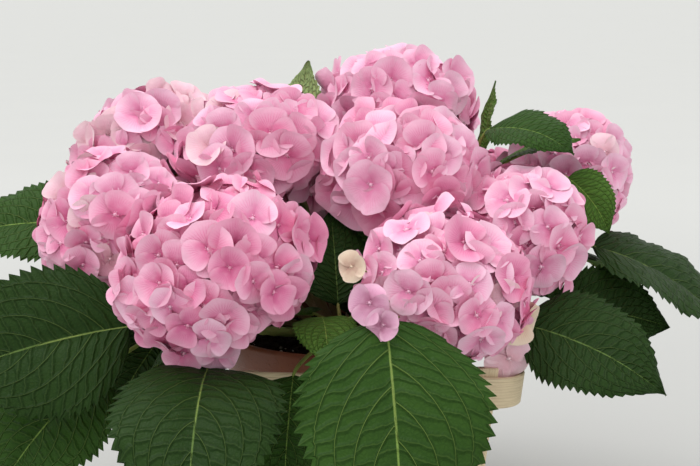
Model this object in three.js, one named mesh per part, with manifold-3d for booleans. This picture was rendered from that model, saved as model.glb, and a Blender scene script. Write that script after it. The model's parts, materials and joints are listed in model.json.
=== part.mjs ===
// A potted mophead hydrangea: a clump of leafy stems that grows from a terracotta-coloured pot. Most stems
// end in a round flower head, and the others carry leaves alone. The pot stands in a tapered holder of pale
// wood, made of four posts, two bentwood hoops and a floor board. Millimetres, +Z up. The origin is the
// centre of the holder's flat underside, and the front of the plant faces -Y.

import * as THREE from "three";
import { ConvexHull } from "three/addons/math/ConvexHull.js";
import { mergeVertices } from "three/addons/utils/BufferGeometryUtils.js";
import Module from "manifold-3d";

const wasm = await Module();
wasm.setup();

const GAP = 0.3; // clearance between solids that touch on the real plant
const MERGE_DISTANCE = 1e-3; // points closer than this are one point

// The holder. Its four sides lean outwards from the foot to the rim.
const SIDE_LEAN = Math.tan(THREE.MathUtils.degToRad(5.7));
const FOOT_HALF_WIDTH = 103; // centre to the outer face of a post, at the ground
const POST_HEIGHT = 184;
const POST_WIDTH = 28;
const POST_THICKNESS = 7;
const POST_OFFSET = 69; // sideways from the centre to the middle of a post, at the ground
const HOOP_THICKNESS = 3;
const HOOP_HEIGHT = 24;
const UPPER_HOOP_BOTTOM = 158;
const LOWER_HOOP_BOTTOM = 16;
const HOOP_CORNER_RADIUS = 22;
const HOOP_CORNER_STEPS = 5;
const HOOP_SLOPE = Math.tan(THREE.MathUtils.degToRad(2.5)); // the hoops sit a little out of level
const HOLDER_TURN = THREE.MathUtils.degToRad(3.5);
const FLOOR_THICKNESS = 8;
const FLOOR_CORNER_RADIUS = 20;

// The pot, and the potting soil that fills it up to a little under the rim.
const POT_BOTTOM = FLOOR_THICKNESS + GAP;
const POT_TOP = 190;
const POT_TOP_RADIUS = 106;
const POT_FOOT_RADIUS = 79;
const POT_WALL = 3;
const POT_RIM_HEIGHT = 20;
const POT_RIM_WALL = 4;
const POT_RIM_STEP = 3;
const POT_SIDES = 32;
const SOIL_TOP = 178;
const SOIL_CROWN = 3; // how much higher the soil stands in the middle
const SOIL_CROWN_RADIUS = 60;

// The stems. Each rises from the soil, leans out and ends inside its flower head.
const STEM_FOOT_RADIUS = 4.8;
const STEM_TIP_RADIUS = 2.6;
const ROOT_FLARE = 1.15;
const STEM_SIDES = 6;
const STEM_STEPS = 3;
const ROOT_SPREAD = 0.18; // a stem's foot lies at this share of its head's distance from the middle
const STEM_RISE = 0.16; // how far a stem heads straight up from the soil, as a share of its span
const STEM_TURN = 0.24; // how far it comes up straight along its head's axis
const BARE_STEM = 0.34; // the share of a stem below its leaves

// The flower heads. Florets stand for groups of the real, smaller ones.
const HEAD_LEAN = 0.0034; // how far a head's axis leans out, for each millimetre from the middle
const HEAD_SEAT = 0.8; // where the stem enters, as a share of the way from the centre to the underside
const FLORETS = 28;
const FLORET_LOBES = 4;
const FLORET_REACH = 0.29; // the angle from a floret's middle to the tip of a lobe
const NOTCH_REACH = 0.25;
const FLORET_COVER = THREE.MathUtils.degToRad(122); // florets stop this far from the top of a head
const MIDDLE_LEVEL = 0.95; // levels are shares of the way from a head's middle to its surface
const LOBE_LEVEL = 1;
const NOTCH_LEVEL = 0.87;
const LEAST_SPACING = 0.12; // corners closer than this angle are left out
const GOLDEN_ANGLE = Math.PI * (3 - Math.sqrt(5));

// The leaves. A leaf's length is that of its blade along the midrib.
const LEAF_WIDTH = 0.76; // of its length
const LEAF_THICKNESS = 1 / 62; // of its length, at the midrib
const LEAF_STATIONS = [0.1, 0.26, 0.44, 0.62, 0.82];
const LEAF_FOLD = 0.22; // how steeply a blade rises from its midrib, and how far it then flattens
const LEAF_FLATTENING = 0.18;
const PETIOLE_RADIUS = 2.1;
const PETIOLE_RISE = 14; // degrees by which a petiole points higher than the foot of its leaf
const PETIOLE_BOW = 0.15; // how far a petiole bows below a straight line, as a share of its length
const PETIOLE_STEPS = 3;
const PETIOLE_END = 0.07; // where it ends inside the blade, as a share of the blade's length
const LEAF_NODES = [0.4, 0.5, 0.6, 0.7, 0.8, 0.9]; // shares of a stem at which a leaf may grow

// The pairs of leaves that every stem carries: share of the stem, pitch, bend along the midrib and length.
const PAIRS = [
  { at: 0.92, pitch: 20, bend: 24, length: 88 },
  { at: 0.82, pitch: 8, bend: 34, length: 104 },
  { at: 0.72, pitch: 4, bend: 44, length: 118 },
  { at: 0.62, pitch: 4, bend: 54, length: 126 },
  { at: 0.52, pitch: 8, bend: 66, length: 130 },
  { at: 0.42, pitch: 14, bend: 84, length: 126 },
];

// A leaf is felt at points spread over it: rows across its blade, and shares of its petiole. A stem is felt
// at points along it.
const PROBE_ROWS = 15;
const PROBE_HALF_COLUMNS = 5;
const PROBE_EDGE = 0.98; // rows and columns stop this far towards the tip and the edge
const PETIOLE_PROBES = [0.3, 0.45, 0.6, 0.75, 0.9];
const STEM_PROBES = 14;

// The room that a leaf keeps from what is already there, measured from those points.
const ROOM = { head: 2.6, stem: 8, leaf: 8.5, holder: 5, rim: 4, soil: 7, ground: 6 };
// What a leaf tries until it fits: a turn in azimuth and in pitch, in degrees, a share of its length, and
// the length of its petiole as a share of the blade's.
const TRIES = [1, 0.78, 0.56].flatMap((share) =>
  [0.26, 0.55].flatMap((stalk) =>
    [0, -20, 20, -42, 42].flatMap((turn) => [0, 10, -12].map((tilt) => ({ turn, tilt, share, stalk }))),
  ),
);

// Each shoot: its name, its flower head's centre, radius and half height, and the leaves that set the
// plant's outline. A shoot with no radius has no flower, and its centre is its tip. A leaf is given by where
// its blade starts, azimuth, pitch, bend, roll and length. Azimuth 0 is +X and -90 the front.
const SHOOTS = [
  ["front_left", [-98, -126, 265], 75, 61, [
    [-100, -147, 193, -92, 2, 84, 0, 152],
  ]],
  ["far_left", [-187, -34, 280], 60, 59, [
    [-160, -108, 214, -164, -4, 18, 60, 148],
    [-184, -94, 178, -142, -30, 24, 34, 122],
    [-212, -8, 208, -176, -4, 20, 44, 62], [-145, -15, 190, -130, -35, 20, 30, 94],
  ]],
  ["upper_left", [-174, 66, 328], 66, 54, [
    [-214, 34, 266, -178, 6, 24, 34, 118],
  ]],
  ["upper_mid_left", [-76, 6, 331], 63, 55, []],
  ["top", [41, 92, 356], 66, 55, []],
  ["centre", [41, -26, 321], 62, 53, []],
  ["front_right", [69, -120, 250], 63, 57, []],
  ["right", [131, -40, 272], 52, 60, [
    [128, -86, 210, -24, -6, 30, -36, 118], [165, -10, 205, 0, 0, 20, -70, 94],
  ]],
  ["far_right", [186, 72, 306], 52, 58, [
    [198, 18, 250, -10, -12, 40, -12, 142],
  ]],
  ["back_left", [-104, 158, 276], 60, 54, []],
  ["back_centre", [4, 186, 290], 58, 54, []],
  ["back_right", [112, 150, 270], 58, 52, []],
  ["front_middle", [-7, -92, 216], 0, 0, [
    [24, -188, 238, -82, -48, 34, 0, 168],
    [-9, -72, 222, 98, 66, 20, 0, 78],
    [-40, -144, 187, -98, -48, 30, 0, 90],
    [-20, -116, 222, -84, 10, 70, 0, 60],
  ]],
  ["crown_middle", [-50, 70, 318], 0, 0, [
    [-52, 80, 316, 45, 66, 6, 0, 84],
  ]],
  ["right_middle", [96, 18, 300], 0, 0, [
    [108, 32, 322, 56, 76, 10, 50, 64],
    [110, 0, 347, -18, 4, 50, -20, 80],
    [174, 4, 308, -20, -46, 34, -68, 58],
  ]],
];

const PINK = new THREE.MeshStandardMaterial({ color: 0xec8fbb, roughness: 0.6 });
const LEAF_GREEN = new THREE.MeshStandardMaterial({ color: 0x2f5a26, roughness: 0.5 });
const STEM_GREEN = new THREE.MeshStandardMaterial({ color: 0x6f7f45, roughness: 0.65 });
const TERRACOTTA = new THREE.MeshStandardMaterial({ color: 0x7a3a24, roughness: 0.7 });
const SOIL_BROWN = new THREE.MeshStandardMaterial({ color: 0x2b1d14, roughness: 1 });
const PALE_WOOD = new THREE.MeshStandardMaterial({ color: 0xd3bd93, roughness: 0.7 });

const radians = THREE.MathUtils.degToRad;
const vector = (x, y, z) => new THREE.Vector3(x, y, z);
const along = (from, direction, distance) => from.clone().addScaledVector(direction, distance);

const plant = new THREE.Group();

function addNode(name, geometry, material) {
  const mesh = new THREE.Mesh(geometry, material);
  mesh.name = name;
  plant.add(mesh);
}

// A closed body from points and triangles, turned so that its faces point outwards.
function closedBody(points, triangles) {
  let volume = 0;
  for (const [a, b, c] of triangles)
    volume += points[a].dot(points[b].clone().cross(points[c]));
  const index = triangles.flatMap(([a, b, c]) => (volume < 0 ? [a, c, b] : [a, b, c]));
  const geometry = new THREE.BufferGeometry();
  const flat = points.flatMap((p) => [p.x, p.y, p.z]);
  geometry.setAttribute("position", new THREE.Float32BufferAttribute(flat, 3));
  geometry.setIndex(index);
  return geometry;
}

// The walls between rings of equal count, each ring joined to the next.
function walls(ringCount, count, closed) {
  const triangles = [];
  for (let ring = 0; ring < (closed ? ringCount : ringCount - 1); ring++)
    for (let i = 0; i < count; i++) {
      const [here, there] = [ring * count, ((ring + 1) % ringCount) * count];
      const next = (i + 1) % count;
      triangles.push([here + i, here + next, there + next], [here + i, there + next, there + i]);
    }
  return triangles;
}

// A closed body through rings, with a flat end at each side.
function loft(rings) {
  const count = rings[0].length;
  const triangles = walls(rings.length, count, false);
  const last = (rings.length - 1) * count;
  for (let i = 1; i < count - 1; i++) {
    triangles.push([0, i + 1, i]);
    triangles.push([last, last + i, last + i + 1]);
  }
  return closedBody(rings.flat(), triangles);
}

// The directions along a line of points.
function directionsAlong(path) {
  return path.map((_, i) =>
    path[Math.min(i + 1, path.length - 1)].clone().sub(path[Math.max(i - 1, 0)]).normalize(),
  );
}

// A tapering limb with a polygon for its section, along a line of points.
function limb(path, firstRadius, lastRadius, sides, directions = directionsAlong(path)) {
  const rings = path.map((point, i) => {
    const side = vector(directions[i].y, -directions[i].x, 0);
    if (side.lengthSq() < 1e-6) side.set(1, 0, 0);
    side.normalize();
    const up = directions[i].clone().cross(side);
    const radius = THREE.MathUtils.lerp(firstRadius, lastRadius, i / (path.length - 1));
    return Array.from({ length: sides }, (_, k) => {
      const angle = (k / sides) * 2 * Math.PI;
      return along(along(point, side, radius * Math.cos(angle)), up, radius * Math.sin(angle));
    });
  });
  return loft(rings);
}

function solidOf(geometry) {
  const bare = geometry.clone();
  bare.deleteAttribute("normal");
  bare.deleteAttribute("uv");
  const merged = mergeVertices(bare, MERGE_DISTANCE);
  const vertProperties = merged.attributes.position.array;
  const triVerts = new Uint32Array(merged.index.array);
  return new wasm.Manifold(new wasm.Mesh({ numProp: 3, vertProperties, triVerts }));
}

function geometryOf(solid) {
  const { vertProperties, triVerts } = solid.getMesh();
  const geometry = new THREE.BufferGeometry();
  geometry.setAttribute("position", new THREE.BufferAttribute(vertProperties, 3));
  geometry.setIndex(new THREE.BufferAttribute(triVerts, 1));
  return geometry;
}

// Joins pieces into one body. Each next one is sunk into those before it.
function fused(geometries) {
  return geometryOf(geometries.map(solidOf).reduce((whole, piece) => whole.add(piece)));
}

// The holder.

function roundedSquare(halfWidth, cornerRadius, z) {
  const ring = [];
  const centre = halfWidth - cornerRadius;
  for (let corner = 0; corner < 4; corner++)
    for (let step = 0; step <= HOOP_CORNER_STEPS; step++) {
      const angle = ((corner + step / HOOP_CORNER_STEPS) * Math.PI) / 2;
      const sideX = corner === 0 || corner === 3 ? centre : -centre;
      const sideY = corner < 2 ? centre : -centre;
      ring.push(vector(sideX + cornerRadius * Math.cos(angle), sideY + cornerRadius * Math.sin(angle), z));
    }
  return ring;
}

// The distance from the holder's middle to the outer face of its posts.
const holderHalfWidth = (z) => FOOT_HALF_WIDTH + z * SIDE_LEAN;

// A hoop leans with the posts, and slopes a little down to +X.
function hoop(bottom) {
  const ringAt = (thickness, level) =>
    roundedSquare(
      holderHalfWidth(level) + 2 * GAP + thickness, HOOP_CORNER_RADIUS + thickness, level,
    ).map((p) => {
      const z = level - p.x * HOOP_SLOPE;
      const growth = holderHalfWidth(z) / holderHalfWidth(level);
      return vector(p.x * growth, p.y * growth, z);
    });
  const top = bottom + HOOP_HEIGHT;
  const rings = [
    ringAt(HOOP_THICKNESS, bottom), ringAt(HOOP_THICKNESS, top), ringAt(0, top), ringAt(0, bottom),
  ];
  return closedBody(rings.flat(), walls(rings.length, rings[0].length, true));
}

// A post on the front or back, leaning out towards its own side and corner.
function post(sideX, sideY) {
  const ringAt = (z) => {
    const outer = holderHalfWidth(z);
    const middle = POST_OFFSET + z * SIDE_LEAN;
    const half = POST_WIDTH / 2;
    const corners = [
      [middle - half, outer - POST_THICKNESS], [middle + half, outer - POST_THICKNESS],
      [middle + half, outer], [middle - half, outer],
    ];
    return corners.map(([x, y]) => vector(sideX * x, sideY * y, z));
  };
  return loft([ringAt(0), ringAt(POST_HEIGHT)]);
}

function floorBoard() {
  const halfWidth = FOOT_HALF_WIDTH - POST_THICKNESS - GAP;
  const ringAt = (z) => roundedSquare(halfWidth, FLOOR_CORNER_RADIUS, z);
  return loft([ringAt(0), ringAt(FLOOR_THICKNESS)]);
}

function makeHolder() {
  const addWood = (name, geometry) => addNode("holder_" + name, geometry.rotateZ(HOLDER_TURN), PALE_WOOD);
  addWood("floor", floorBoard());
  addWood("hoop_upper", hoop(UPPER_HOOP_BOTTOM));
  addWood("hoop_lower", hoop(LOWER_HOOP_BOTTOM));
  addWood("post_front_left", post(-1, -1));
  addWood("post_front_right", post(1, -1));
  addWood("post_back_left", post(-1, 1));
  addWood("post_back_right", post(1, 1));
}

// The pot and its soil.

const potWallRadius = (z) =>
  THREE.MathUtils.mapLinear(z, POT_BOTTOM, POT_TOP, POT_FOOT_RADIUS, POT_TOP_RADIUS - POT_RIM_STEP);

function turned(profile) {
  const points = [...profile, profile[0]].map(([radius, z]) => new THREE.Vector2(radius, z));
  const lathe = new THREE.LatheGeometry(points, POT_SIDES).rotateX(Math.PI / 2);
  lathe.deleteAttribute("normal");
  lathe.deleteAttribute("uv");
  const merged = mergeVertices(lathe, MERGE_DISTANCE);
  const at = merged.attributes.position;
  const corners = Array.from({ length: at.count }, (_, i) => vector(at.getX(i), at.getY(i), at.getZ(i)));
  const index = merged.index.array;
  const triangles = [];
  for (let i = 0; i < index.length; i += 3) {
    const [a, b, c] = [index[i], index[i + 1], index[i + 2]];
    if (a !== b && b !== c && c !== a) triangles.push([a, b, c]);
  }
  return closedBody(corners, triangles);
}

function makePot() {
  const innerFloor = POT_BOTTOM + POT_WALL;
  const rimFoot = POT_TOP - POT_RIM_HEIGHT;
  const pot = turned([
    [0, POT_BOTTOM],
    [POT_FOOT_RADIUS, POT_BOTTOM],
    [potWallRadius(rimFoot), rimFoot],
    [potWallRadius(rimFoot) + POT_RIM_STEP, rimFoot],
    [POT_TOP_RADIUS, POT_TOP],
    [POT_TOP_RADIUS - POT_RIM_WALL, POT_TOP],
    [potWallRadius(innerFloor) - POT_WALL, innerFloor],
    [0, innerFloor],
  ]);
  addNode("pot", pot, TERRACOTTA);
  const insideAt = (z) =>
    THREE.MathUtils.mapLinear(
      z, innerFloor, POT_TOP, potWallRadius(innerFloor) - POT_WALL, POT_TOP_RADIUS - POT_RIM_WALL,
    ) - 2 * GAP;
  const soil = turned([
    [0, innerFloor + GAP],
    [insideAt(innerFloor + GAP), innerFloor + GAP],
    [insideAt(SOIL_TOP - SOIL_CROWN), SOIL_TOP - SOIL_CROWN],
    [SOIL_CROWN_RADIUS, SOIL_TOP],
    [0, SOIL_TOP],
  ]);
  addNode("potting_soil", soil, SOIL_BROWN);
}

// The plan of each shoot: its stem's line and its head's axes.

function planShoot([name, centre, radius, height, keyLeaves]) {
  const head = vector(...centre);
  const axis = vector(head.x * HEAD_LEAN, head.y * HEAD_LEAN, 1).normalize();
  const sideways = vector(axis.z, 0, -axis.x).normalize();
  const forwards = axis.clone().cross(sideways);
  const foot = vector(head.x * ROOT_SPREAD, head.y * ROOT_SPREAD, SOIL_TOP + GAP);
  const seat = height * HEAD_SEAT;
  const tip = along(head, axis, -seat);
  const span = foot.distanceTo(tip);
  const above = along(foot, vector(0, 0, 1), span * STEM_RISE);
  const below = along(tip, axis, -span * STEM_TURN);
  const stem = new THREE.CubicBezierCurve3(foot, above, below, tip);
  return { name, head, radius, height, axis, sideways, forwards, seat, stem, keyLeaves, leaves: [] };
}

const shoots = SHOOTS.map(planShoot);
const flowering = shoots.filter((shoot) => shoot.radius > 0);

// How far out a point lies from a head's middle, where 1 is on the head's surface grown by a margin.
function depthInHead(shoot, point, margin) {
  const offset = point.clone().sub(shoot.head);
  const across = shoot.radius + margin;
  const high = shoot.height + margin;
  return Math.hypot(
    offset.dot(shoot.sideways) / across,
    offset.dot(shoot.forwards) / across,
    offset.dot(shoot.axis) / high,
  );
}

// The share of a ray from a head's middle that stays on its own side of the planes between it and its
// neighbours, with half the clearance taken off.
function shareBeforeNeighbours(shoot, reach) {
  let share = 1;
  for (const other of flowering) {
    if (other === shoot) continue;
    const towards = other.head.clone().sub(shoot.head);
    const distance = towards.length();
    const plane = (distance ** 2 + shoot.radius ** 2 - other.radius ** 2) / (2 * distance) - GAP;
    share = Math.min(share, plane / Math.max(reach.dot(towards) / distance, plane));
  }
  return share;
}

// The leaves.

const leafShape = (u) => Math.max(0, Math.sin(Math.PI * u ** 0.72)) ** 0.75 * (1 - 0.45 * u ** 6);

// A point on the blade at u along it, v across it from -1 to 1, and lift above it.
function onLeaf(leaf, u, v, lift) {
  const turn = radians(leaf.azimuth);
  const start = radians(leaf.pitch);
  const bend = radians(leaf.bend);
  const slope = start - bend * u;
  const out = ((Math.sin(start) - Math.sin(slope)) / bend) * leaf.length;
  const rise = ((Math.cos(slope) - Math.cos(start)) / bend) * leaf.length;
  const forward = vector(Math.cos(turn), Math.sin(turn), 0);
  const tangent = forward.clone().multiplyScalar(Math.cos(slope)).setZ(Math.sin(slope));
  const flatSide = vector(Math.sin(turn), -Math.cos(turn), 0);
  const flatUp = flatSide.clone().cross(tangent);
  const roll = radians(leaf.roll);
  const side = flatSide.clone().multiplyScalar(Math.cos(roll)).addScaledVector(flatUp, Math.sin(roll));
  const up = flatUp.clone().multiplyScalar(Math.cos(roll)).addScaledVector(flatSide, -Math.sin(roll));
  const halfWidth = (leaf.length * LEAF_WIDTH * leafShape(u)) / 2;
  const point = along(leaf.base, forward, out).setZ(leaf.base.z + rise);
  const fold = halfWidth * (LEAF_FOLD * Math.abs(v) - LEAF_FLATTENING * v * v);
  return along(along(point, side, v * halfWidth), up, fold + lift);
}

// A petiole leaves its node, and comes up to the blade in the blade's own direction.
function petioleCurve(leaf) {
  const start = onLeaf(leaf, 0.04, 0, 0).sub(leaf.base).normalize();
  const bow = along(leaf.base, start, -PETIOLE_BOW * leaf.node.distanceTo(leaf.base));
  return new THREE.QuadraticBezierCurve3(leaf.node, bow, leaf.base);
}

// Points spread over a leaf's blade and along its petiole, with a ball round them all. They stand for the
// leaf when it looks for room, and when others do.
function probe(leaf) {
  const blade = [];
  for (let row = 0; row < PROBE_ROWS; row++) {
    const u = THREE.MathUtils.lerp(1 - PROBE_EDGE, 1, row / (PROBE_ROWS - 1));
    for (let column = -PROBE_HALF_COLUMNS; column <= PROBE_HALF_COLUMNS; column++)
      blade.push(onLeaf(leaf, u, (column / PROBE_HALF_COLUMNS) * PROBE_EDGE, 0));
  }
  const curve = petioleCurve(leaf);
  const petiole = PETIOLE_PROBES.map((share) => curve.getPoint(share));
  const points = [...blade, ...petiole];
  const middle = onLeaf(leaf, 0.4, 0, 0);
  const reach = Math.max(...points.map((p) => p.distanceTo(middle)));
  return { blade, petiole, points, middle, reach };
}

// Whether a point is clear of the ground, of the holder and of the pot's rim. Over the soil it may be low.
function clearOfPot(p) {
  if (p.z < ROOM.ground) return false;
  if (p.z > POT_TOP + ROOM.rim) return true;
  const fromAxis = Math.hypot(p.x, p.y);
  if (fromAxis < POT_TOP_RADIUS - ROOM.soil) return p.z > SOIL_TOP + ROOM.soil;
  const turnedPoint = p.clone().applyAxisAngle(vector(0, 0, 1), -HOLDER_TURN);
  const hoopTop = UPPER_HOOP_BOTTOM + HOOP_HEIGHT - turnedPoint.x * HOOP_SLOPE;
  if (fromAxis > POT_TOP_RADIUS + ROOM.rim && p.z > hoopTop + ROOM.rim) return true;
  const reach = Math.max(Math.abs(turnedPoint.x), Math.abs(turnedPoint.y));
  return reach > holderHalfWidth(p.z) + HOOP_THICKNESS + ROOM.holder;
}

const farFrom = (points, others, room) => points.every((p) => others.every((q) => p.distanceTo(q) > room));

function hasRoom(shoot, { blade, petiole, points, middle, reach }, grown) {
  return (
    points.every(clearOfPot) &&
    flowering.every((other) => points.every((p) => depthInHead(other, p, ROOM.head) > 1)) &&
    shoots.every((other) => farFrom(blade, other.stemPoints, ROOM.stem)) &&
    shoots.every((other) => other === shoot || farFrom(petiole, other.stemPoints, ROOM.stem)) &&
    grown.every(
      (other) =>
        middle.distanceTo(other.middle) > reach + other.reach + ROOM.leaf ||
        farFrom(points, other.points, ROOM.leaf),
    )
  );
}

// Grows one leaf, turned and shortened until it has room. A leaf that finds none is left out.
function growLeaf(shoot, wanted, grown) {
  for (const change of TRIES) {
    const leaf = wanted(change);
    const space = probe(leaf);
    if (!hasRoom(shoot, space, grown)) continue;
    grown.push(space);
    shoot.leaves.push(leaf);
    return;
  }
}

// A leaf that starts at a given point. It grows from the nearest node, and rather from a lower one.
function placedLeaf(shoot, [x, y, z, azimuth, pitch, bend, roll, length]) {
  const base = vector(x, y, z);
  const nodes = LEAF_NODES.map((at) => shoot.stem.getPoint(at));
  const cost = (p) => p.distanceTo(base) + 2 * Math.max(0, p.z - z);
  const node = nodes.reduce((best, p) => (cost(p) < cost(best) ? p : best));
  return ({ turn, tilt, share }) => ({
    node, base, azimuth: azimuth + turn, pitch: pitch + tilt, bend, roll, length: length * share,
  });
}

// A leaf that starts where its own petiole takes it, out from a node.
function freeLeaf(shoot, { at, pitch, bend, length }, azimuth) {
  const node = shoot.stem.getPoint(at);
  return ({ turn, tilt, share, stalk }) => {
    const heading = radians(azimuth + turn);
    const rise = radians(pitch + tilt + PETIOLE_RISE);
    const direction = vector(
      Math.cos(heading) * Math.cos(rise), Math.sin(heading) * Math.cos(rise), Math.sin(rise),
    );
    const base = along(node, direction, length * share * stalk);
    return {
      node, base, azimuth: azimuth + turn, pitch: pitch + tilt, bend, roll: 0, length: length * share,
    };
  };
}

function growLeaves() {
  const grown = [];
  for (const shoot of shoots)
    shoot.stemPoints = Array.from({ length: STEM_PROBES }, (_, i) => shoot.stem.getPoint(i / STEM_PROBES));
  for (const shoot of shoots)
    for (const leaf of shoot.keyLeaves) growLeaf(shoot, placedLeaf(shoot, leaf), grown);
  PAIRS.forEach((pair, level) => {
    for (const shoot of shoots) {
      const outwards = THREE.MathUtils.radToDeg(Math.atan2(shoot.head.y, shoot.head.x)) + level * 90;
      for (const side of [0, 180]) growLeaf(shoot, freeLeaf(shoot, pair, outwards + side), grown);
    }
  });
}

growLeaves();

// A blade with a sharp margin all round, thickest along its midrib.
function blade(leaf) {
  const thickness = leaf.length * LEAF_THICKNESS;
  const points = [onLeaf(leaf, 0, 0, 0)];
  const triangles = [];
  LEAF_STATIONS.forEach((u) => {
    points.push(onLeaf(leaf, u, -1, 0), onLeaf(leaf, u, 0, thickness / 2));
    points.push(onLeaf(leaf, u, 1, 0), onLeaf(leaf, u, 0, -thickness / 2));
  });
  points.push(onLeaf(leaf, 1, 0, 0));
  const last = points.length - 1;
  for (let side = 0; side < 4; side++) {
    const next = (side + 1) % 4;
    triangles.push([0, 1 + next, 1 + side]);
    for (let station = 0; station < LEAF_STATIONS.length - 1; station++) {
      const [a, b] = [1 + station * 4 + side, 1 + station * 4 + next];
      triangles.push([a, b, b + 4], [a, b + 4, a + 4]);
    }
    triangles.push([last, last - 4 + side, last - 4 + next]);
  }
  return closedBody(points, triangles);
}

function petiole(leaf) {
  const path = petioleCurve(leaf).getPoints(PETIOLE_STEPS);
  path.push(onLeaf(leaf, PETIOLE_END, 0, 0));
  return limb(path, PETIOLE_RADIUS, PETIOLE_RADIUS * 0.8, 3);
}

// The leafy upper stem of a shoot, with its leaves.
function leafyStem(shoot) {
  return fused([stemPart(shoot, BARE_STEM, 1), ...shoot.leaves.map(petiole), ...shoot.leaves.map(blade)]);
}

// The stems.

const stemRadius = (t) => THREE.MathUtils.lerp(STEM_FOOT_RADIUS, STEM_TIP_RADIUS, t);

// A length of stem between two shares of it, with the clearance taken off its upper end. The first part
// starts from a flat cut on the soil, and flares there.
function stemPart(shoot, from, to) {
  const steps = Array.from({ length: STEM_STEPS + 1 }, (_, i) => i / STEM_STEPS);
  const shares = steps.map((step) => THREE.MathUtils.lerp(from, to, step));
  const path = shares.map((share) => shoot.stem.getPoint(share));
  const directions = shares.map((share) => shoot.stem.getTangent(share));
  path[STEM_STEPS].addScaledVector(directions[STEM_STEPS], -GAP);
  if (from > 0) return limb(path, stemRadius(from), stemRadius(to), STEM_SIDES, directions);
  directions[0].set(0, 0, 1);
  return limb(path, stemRadius(0) * ROOT_FLARE, stemRadius(to), STEM_SIDES, directions);
}

// The flower heads.

// The way from a head's middle to its surface, at an angle from the top and an angle around.
function headReach(shoot, polar, around) {
  const across = shoot.radius * Math.sin(polar);
  return vector(0, 0, 0)
    .addScaledVector(shoot.sideways, across * Math.cos(around))
    .addScaledVector(shoot.forwards, across * Math.sin(around))
    .addScaledVector(shoot.axis, shoot.height * Math.cos(polar));
}

// The corners of a head, each a direction on the unit sphere with its level. A floret has a low middle, four
// lobes and the notches between them. A corner too close to an earlier one is left out.
function headCorners() {
  const corners = [];
  const place = (direction, level) => {
    if (corners.every((corner) => corner.direction.angleTo(direction) > LEAST_SPACING))
      corners.push({ direction, level });
  };
  const florets = Array.from({ length: FLORETS }, (_, order) => {
    const polar = Math.acos(1 - (1 - Math.cos(FLORET_COVER)) * ((order + 0.5) / FLORETS));
    const middle = vector().setFromSphericalCoords(1, polar, order * GOLDEN_ANGLE);
    const side = vector(middle.y, -middle.x, 0).normalize();
    return { middle, side, over: middle.clone().cross(side), turn: order };
  });
  florets.forEach(({ middle }) => place(middle, MIDDLE_LEVEL));
  for (const [shift, reach, level] of [[0, FLORET_REACH, LOBE_LEVEL], [0.5, NOTCH_REACH, NOTCH_LEVEL]])
    for (const { middle, side, over, turn } of florets)
      for (let lobe = 0; lobe < FLORET_LOBES; lobe++) {
        const angle = ((lobe + shift) / FLORET_LOBES) * 2 * Math.PI + turn;
        const sideways = side.clone().multiplyScalar(Math.cos(angle)).addScaledVector(over, Math.sin(angle));
        const lobeMiddle = middle.clone().multiplyScalar(Math.cos(reach));
        place(lobeMiddle.addScaledVector(sideways, Math.sin(reach)), level);
      }
  return corners;
}

// A head is one skin over its corners, closed below by a small flat seat on top of the stem.
function flowerHead(shoot) {
  const ways = new Map();
  for (const { direction, level } of headCorners()) {
    const { phi, theta } = new THREE.Spherical().setFromVector3(direction);
    const reach = headReach(shoot, phi, theta).multiplyScalar(level);
    ways.set(direction, reach.multiplyScalar(shareBeforeNeighbours(shoot, reach)));
  }
  for (let i = 0; i < STEM_SIDES; i++) {
    const around = (i / STEM_SIDES) * 2 * Math.PI;
    const wide = headReach(shoot, Math.PI / 2, around).setLength(STEM_TIP_RADIUS);
    const direction = vector().setFromSphericalCoords(1, Math.PI - STEM_TIP_RADIUS / shoot.seat, around);
    ways.set(direction, wide.addScaledVector(shoot.axis, -shoot.seat));
  }
  const skin = new ConvexHull().setFromPoints([...ways.keys()]);
  const order = [...ways.keys()];
  const triangles = skin.faces.map(({ edge }) => [edge.head(), edge.next.head(), edge.prev.head()]);
  const numbered = triangles.map((corners) => corners.map(({ point }) => order.indexOf(point)));
  return closedBody(order.map((direction) => shoot.head.clone().add(ways.get(direction))), numbered);
}

makeHolder();
makePot();
for (const shoot of shoots) {
  addNode("stem_" + shoot.name, stemPart(shoot, 0, BARE_STEM), STEM_GREEN);
  addNode("leaves_" + shoot.name, leafyStem(shoot), LEAF_GREEN);
}
for (const shoot of flowering) addNode("flower_" + shoot.name, flowerHead(shoot), PINK);

export default plant;
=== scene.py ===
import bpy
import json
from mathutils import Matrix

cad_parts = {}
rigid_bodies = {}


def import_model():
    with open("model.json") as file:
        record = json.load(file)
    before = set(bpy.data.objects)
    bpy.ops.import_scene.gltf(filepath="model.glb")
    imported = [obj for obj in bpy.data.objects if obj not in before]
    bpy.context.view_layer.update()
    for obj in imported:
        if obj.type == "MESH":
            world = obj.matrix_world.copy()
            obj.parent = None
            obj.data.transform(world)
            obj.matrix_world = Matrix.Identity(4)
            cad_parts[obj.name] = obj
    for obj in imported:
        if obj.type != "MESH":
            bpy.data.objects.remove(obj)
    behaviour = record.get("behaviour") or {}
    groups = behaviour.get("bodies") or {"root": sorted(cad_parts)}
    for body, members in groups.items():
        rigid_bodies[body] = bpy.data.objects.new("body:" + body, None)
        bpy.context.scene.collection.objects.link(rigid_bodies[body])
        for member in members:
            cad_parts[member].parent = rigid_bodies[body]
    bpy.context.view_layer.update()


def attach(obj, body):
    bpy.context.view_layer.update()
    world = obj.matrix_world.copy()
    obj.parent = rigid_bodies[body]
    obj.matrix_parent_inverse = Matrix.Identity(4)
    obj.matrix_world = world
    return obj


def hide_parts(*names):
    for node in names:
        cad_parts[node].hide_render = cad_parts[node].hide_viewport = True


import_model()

import collections
import itertools
import json
import math

import bpy
import numpy as np
from mathutils import Matrix, Vector

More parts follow.
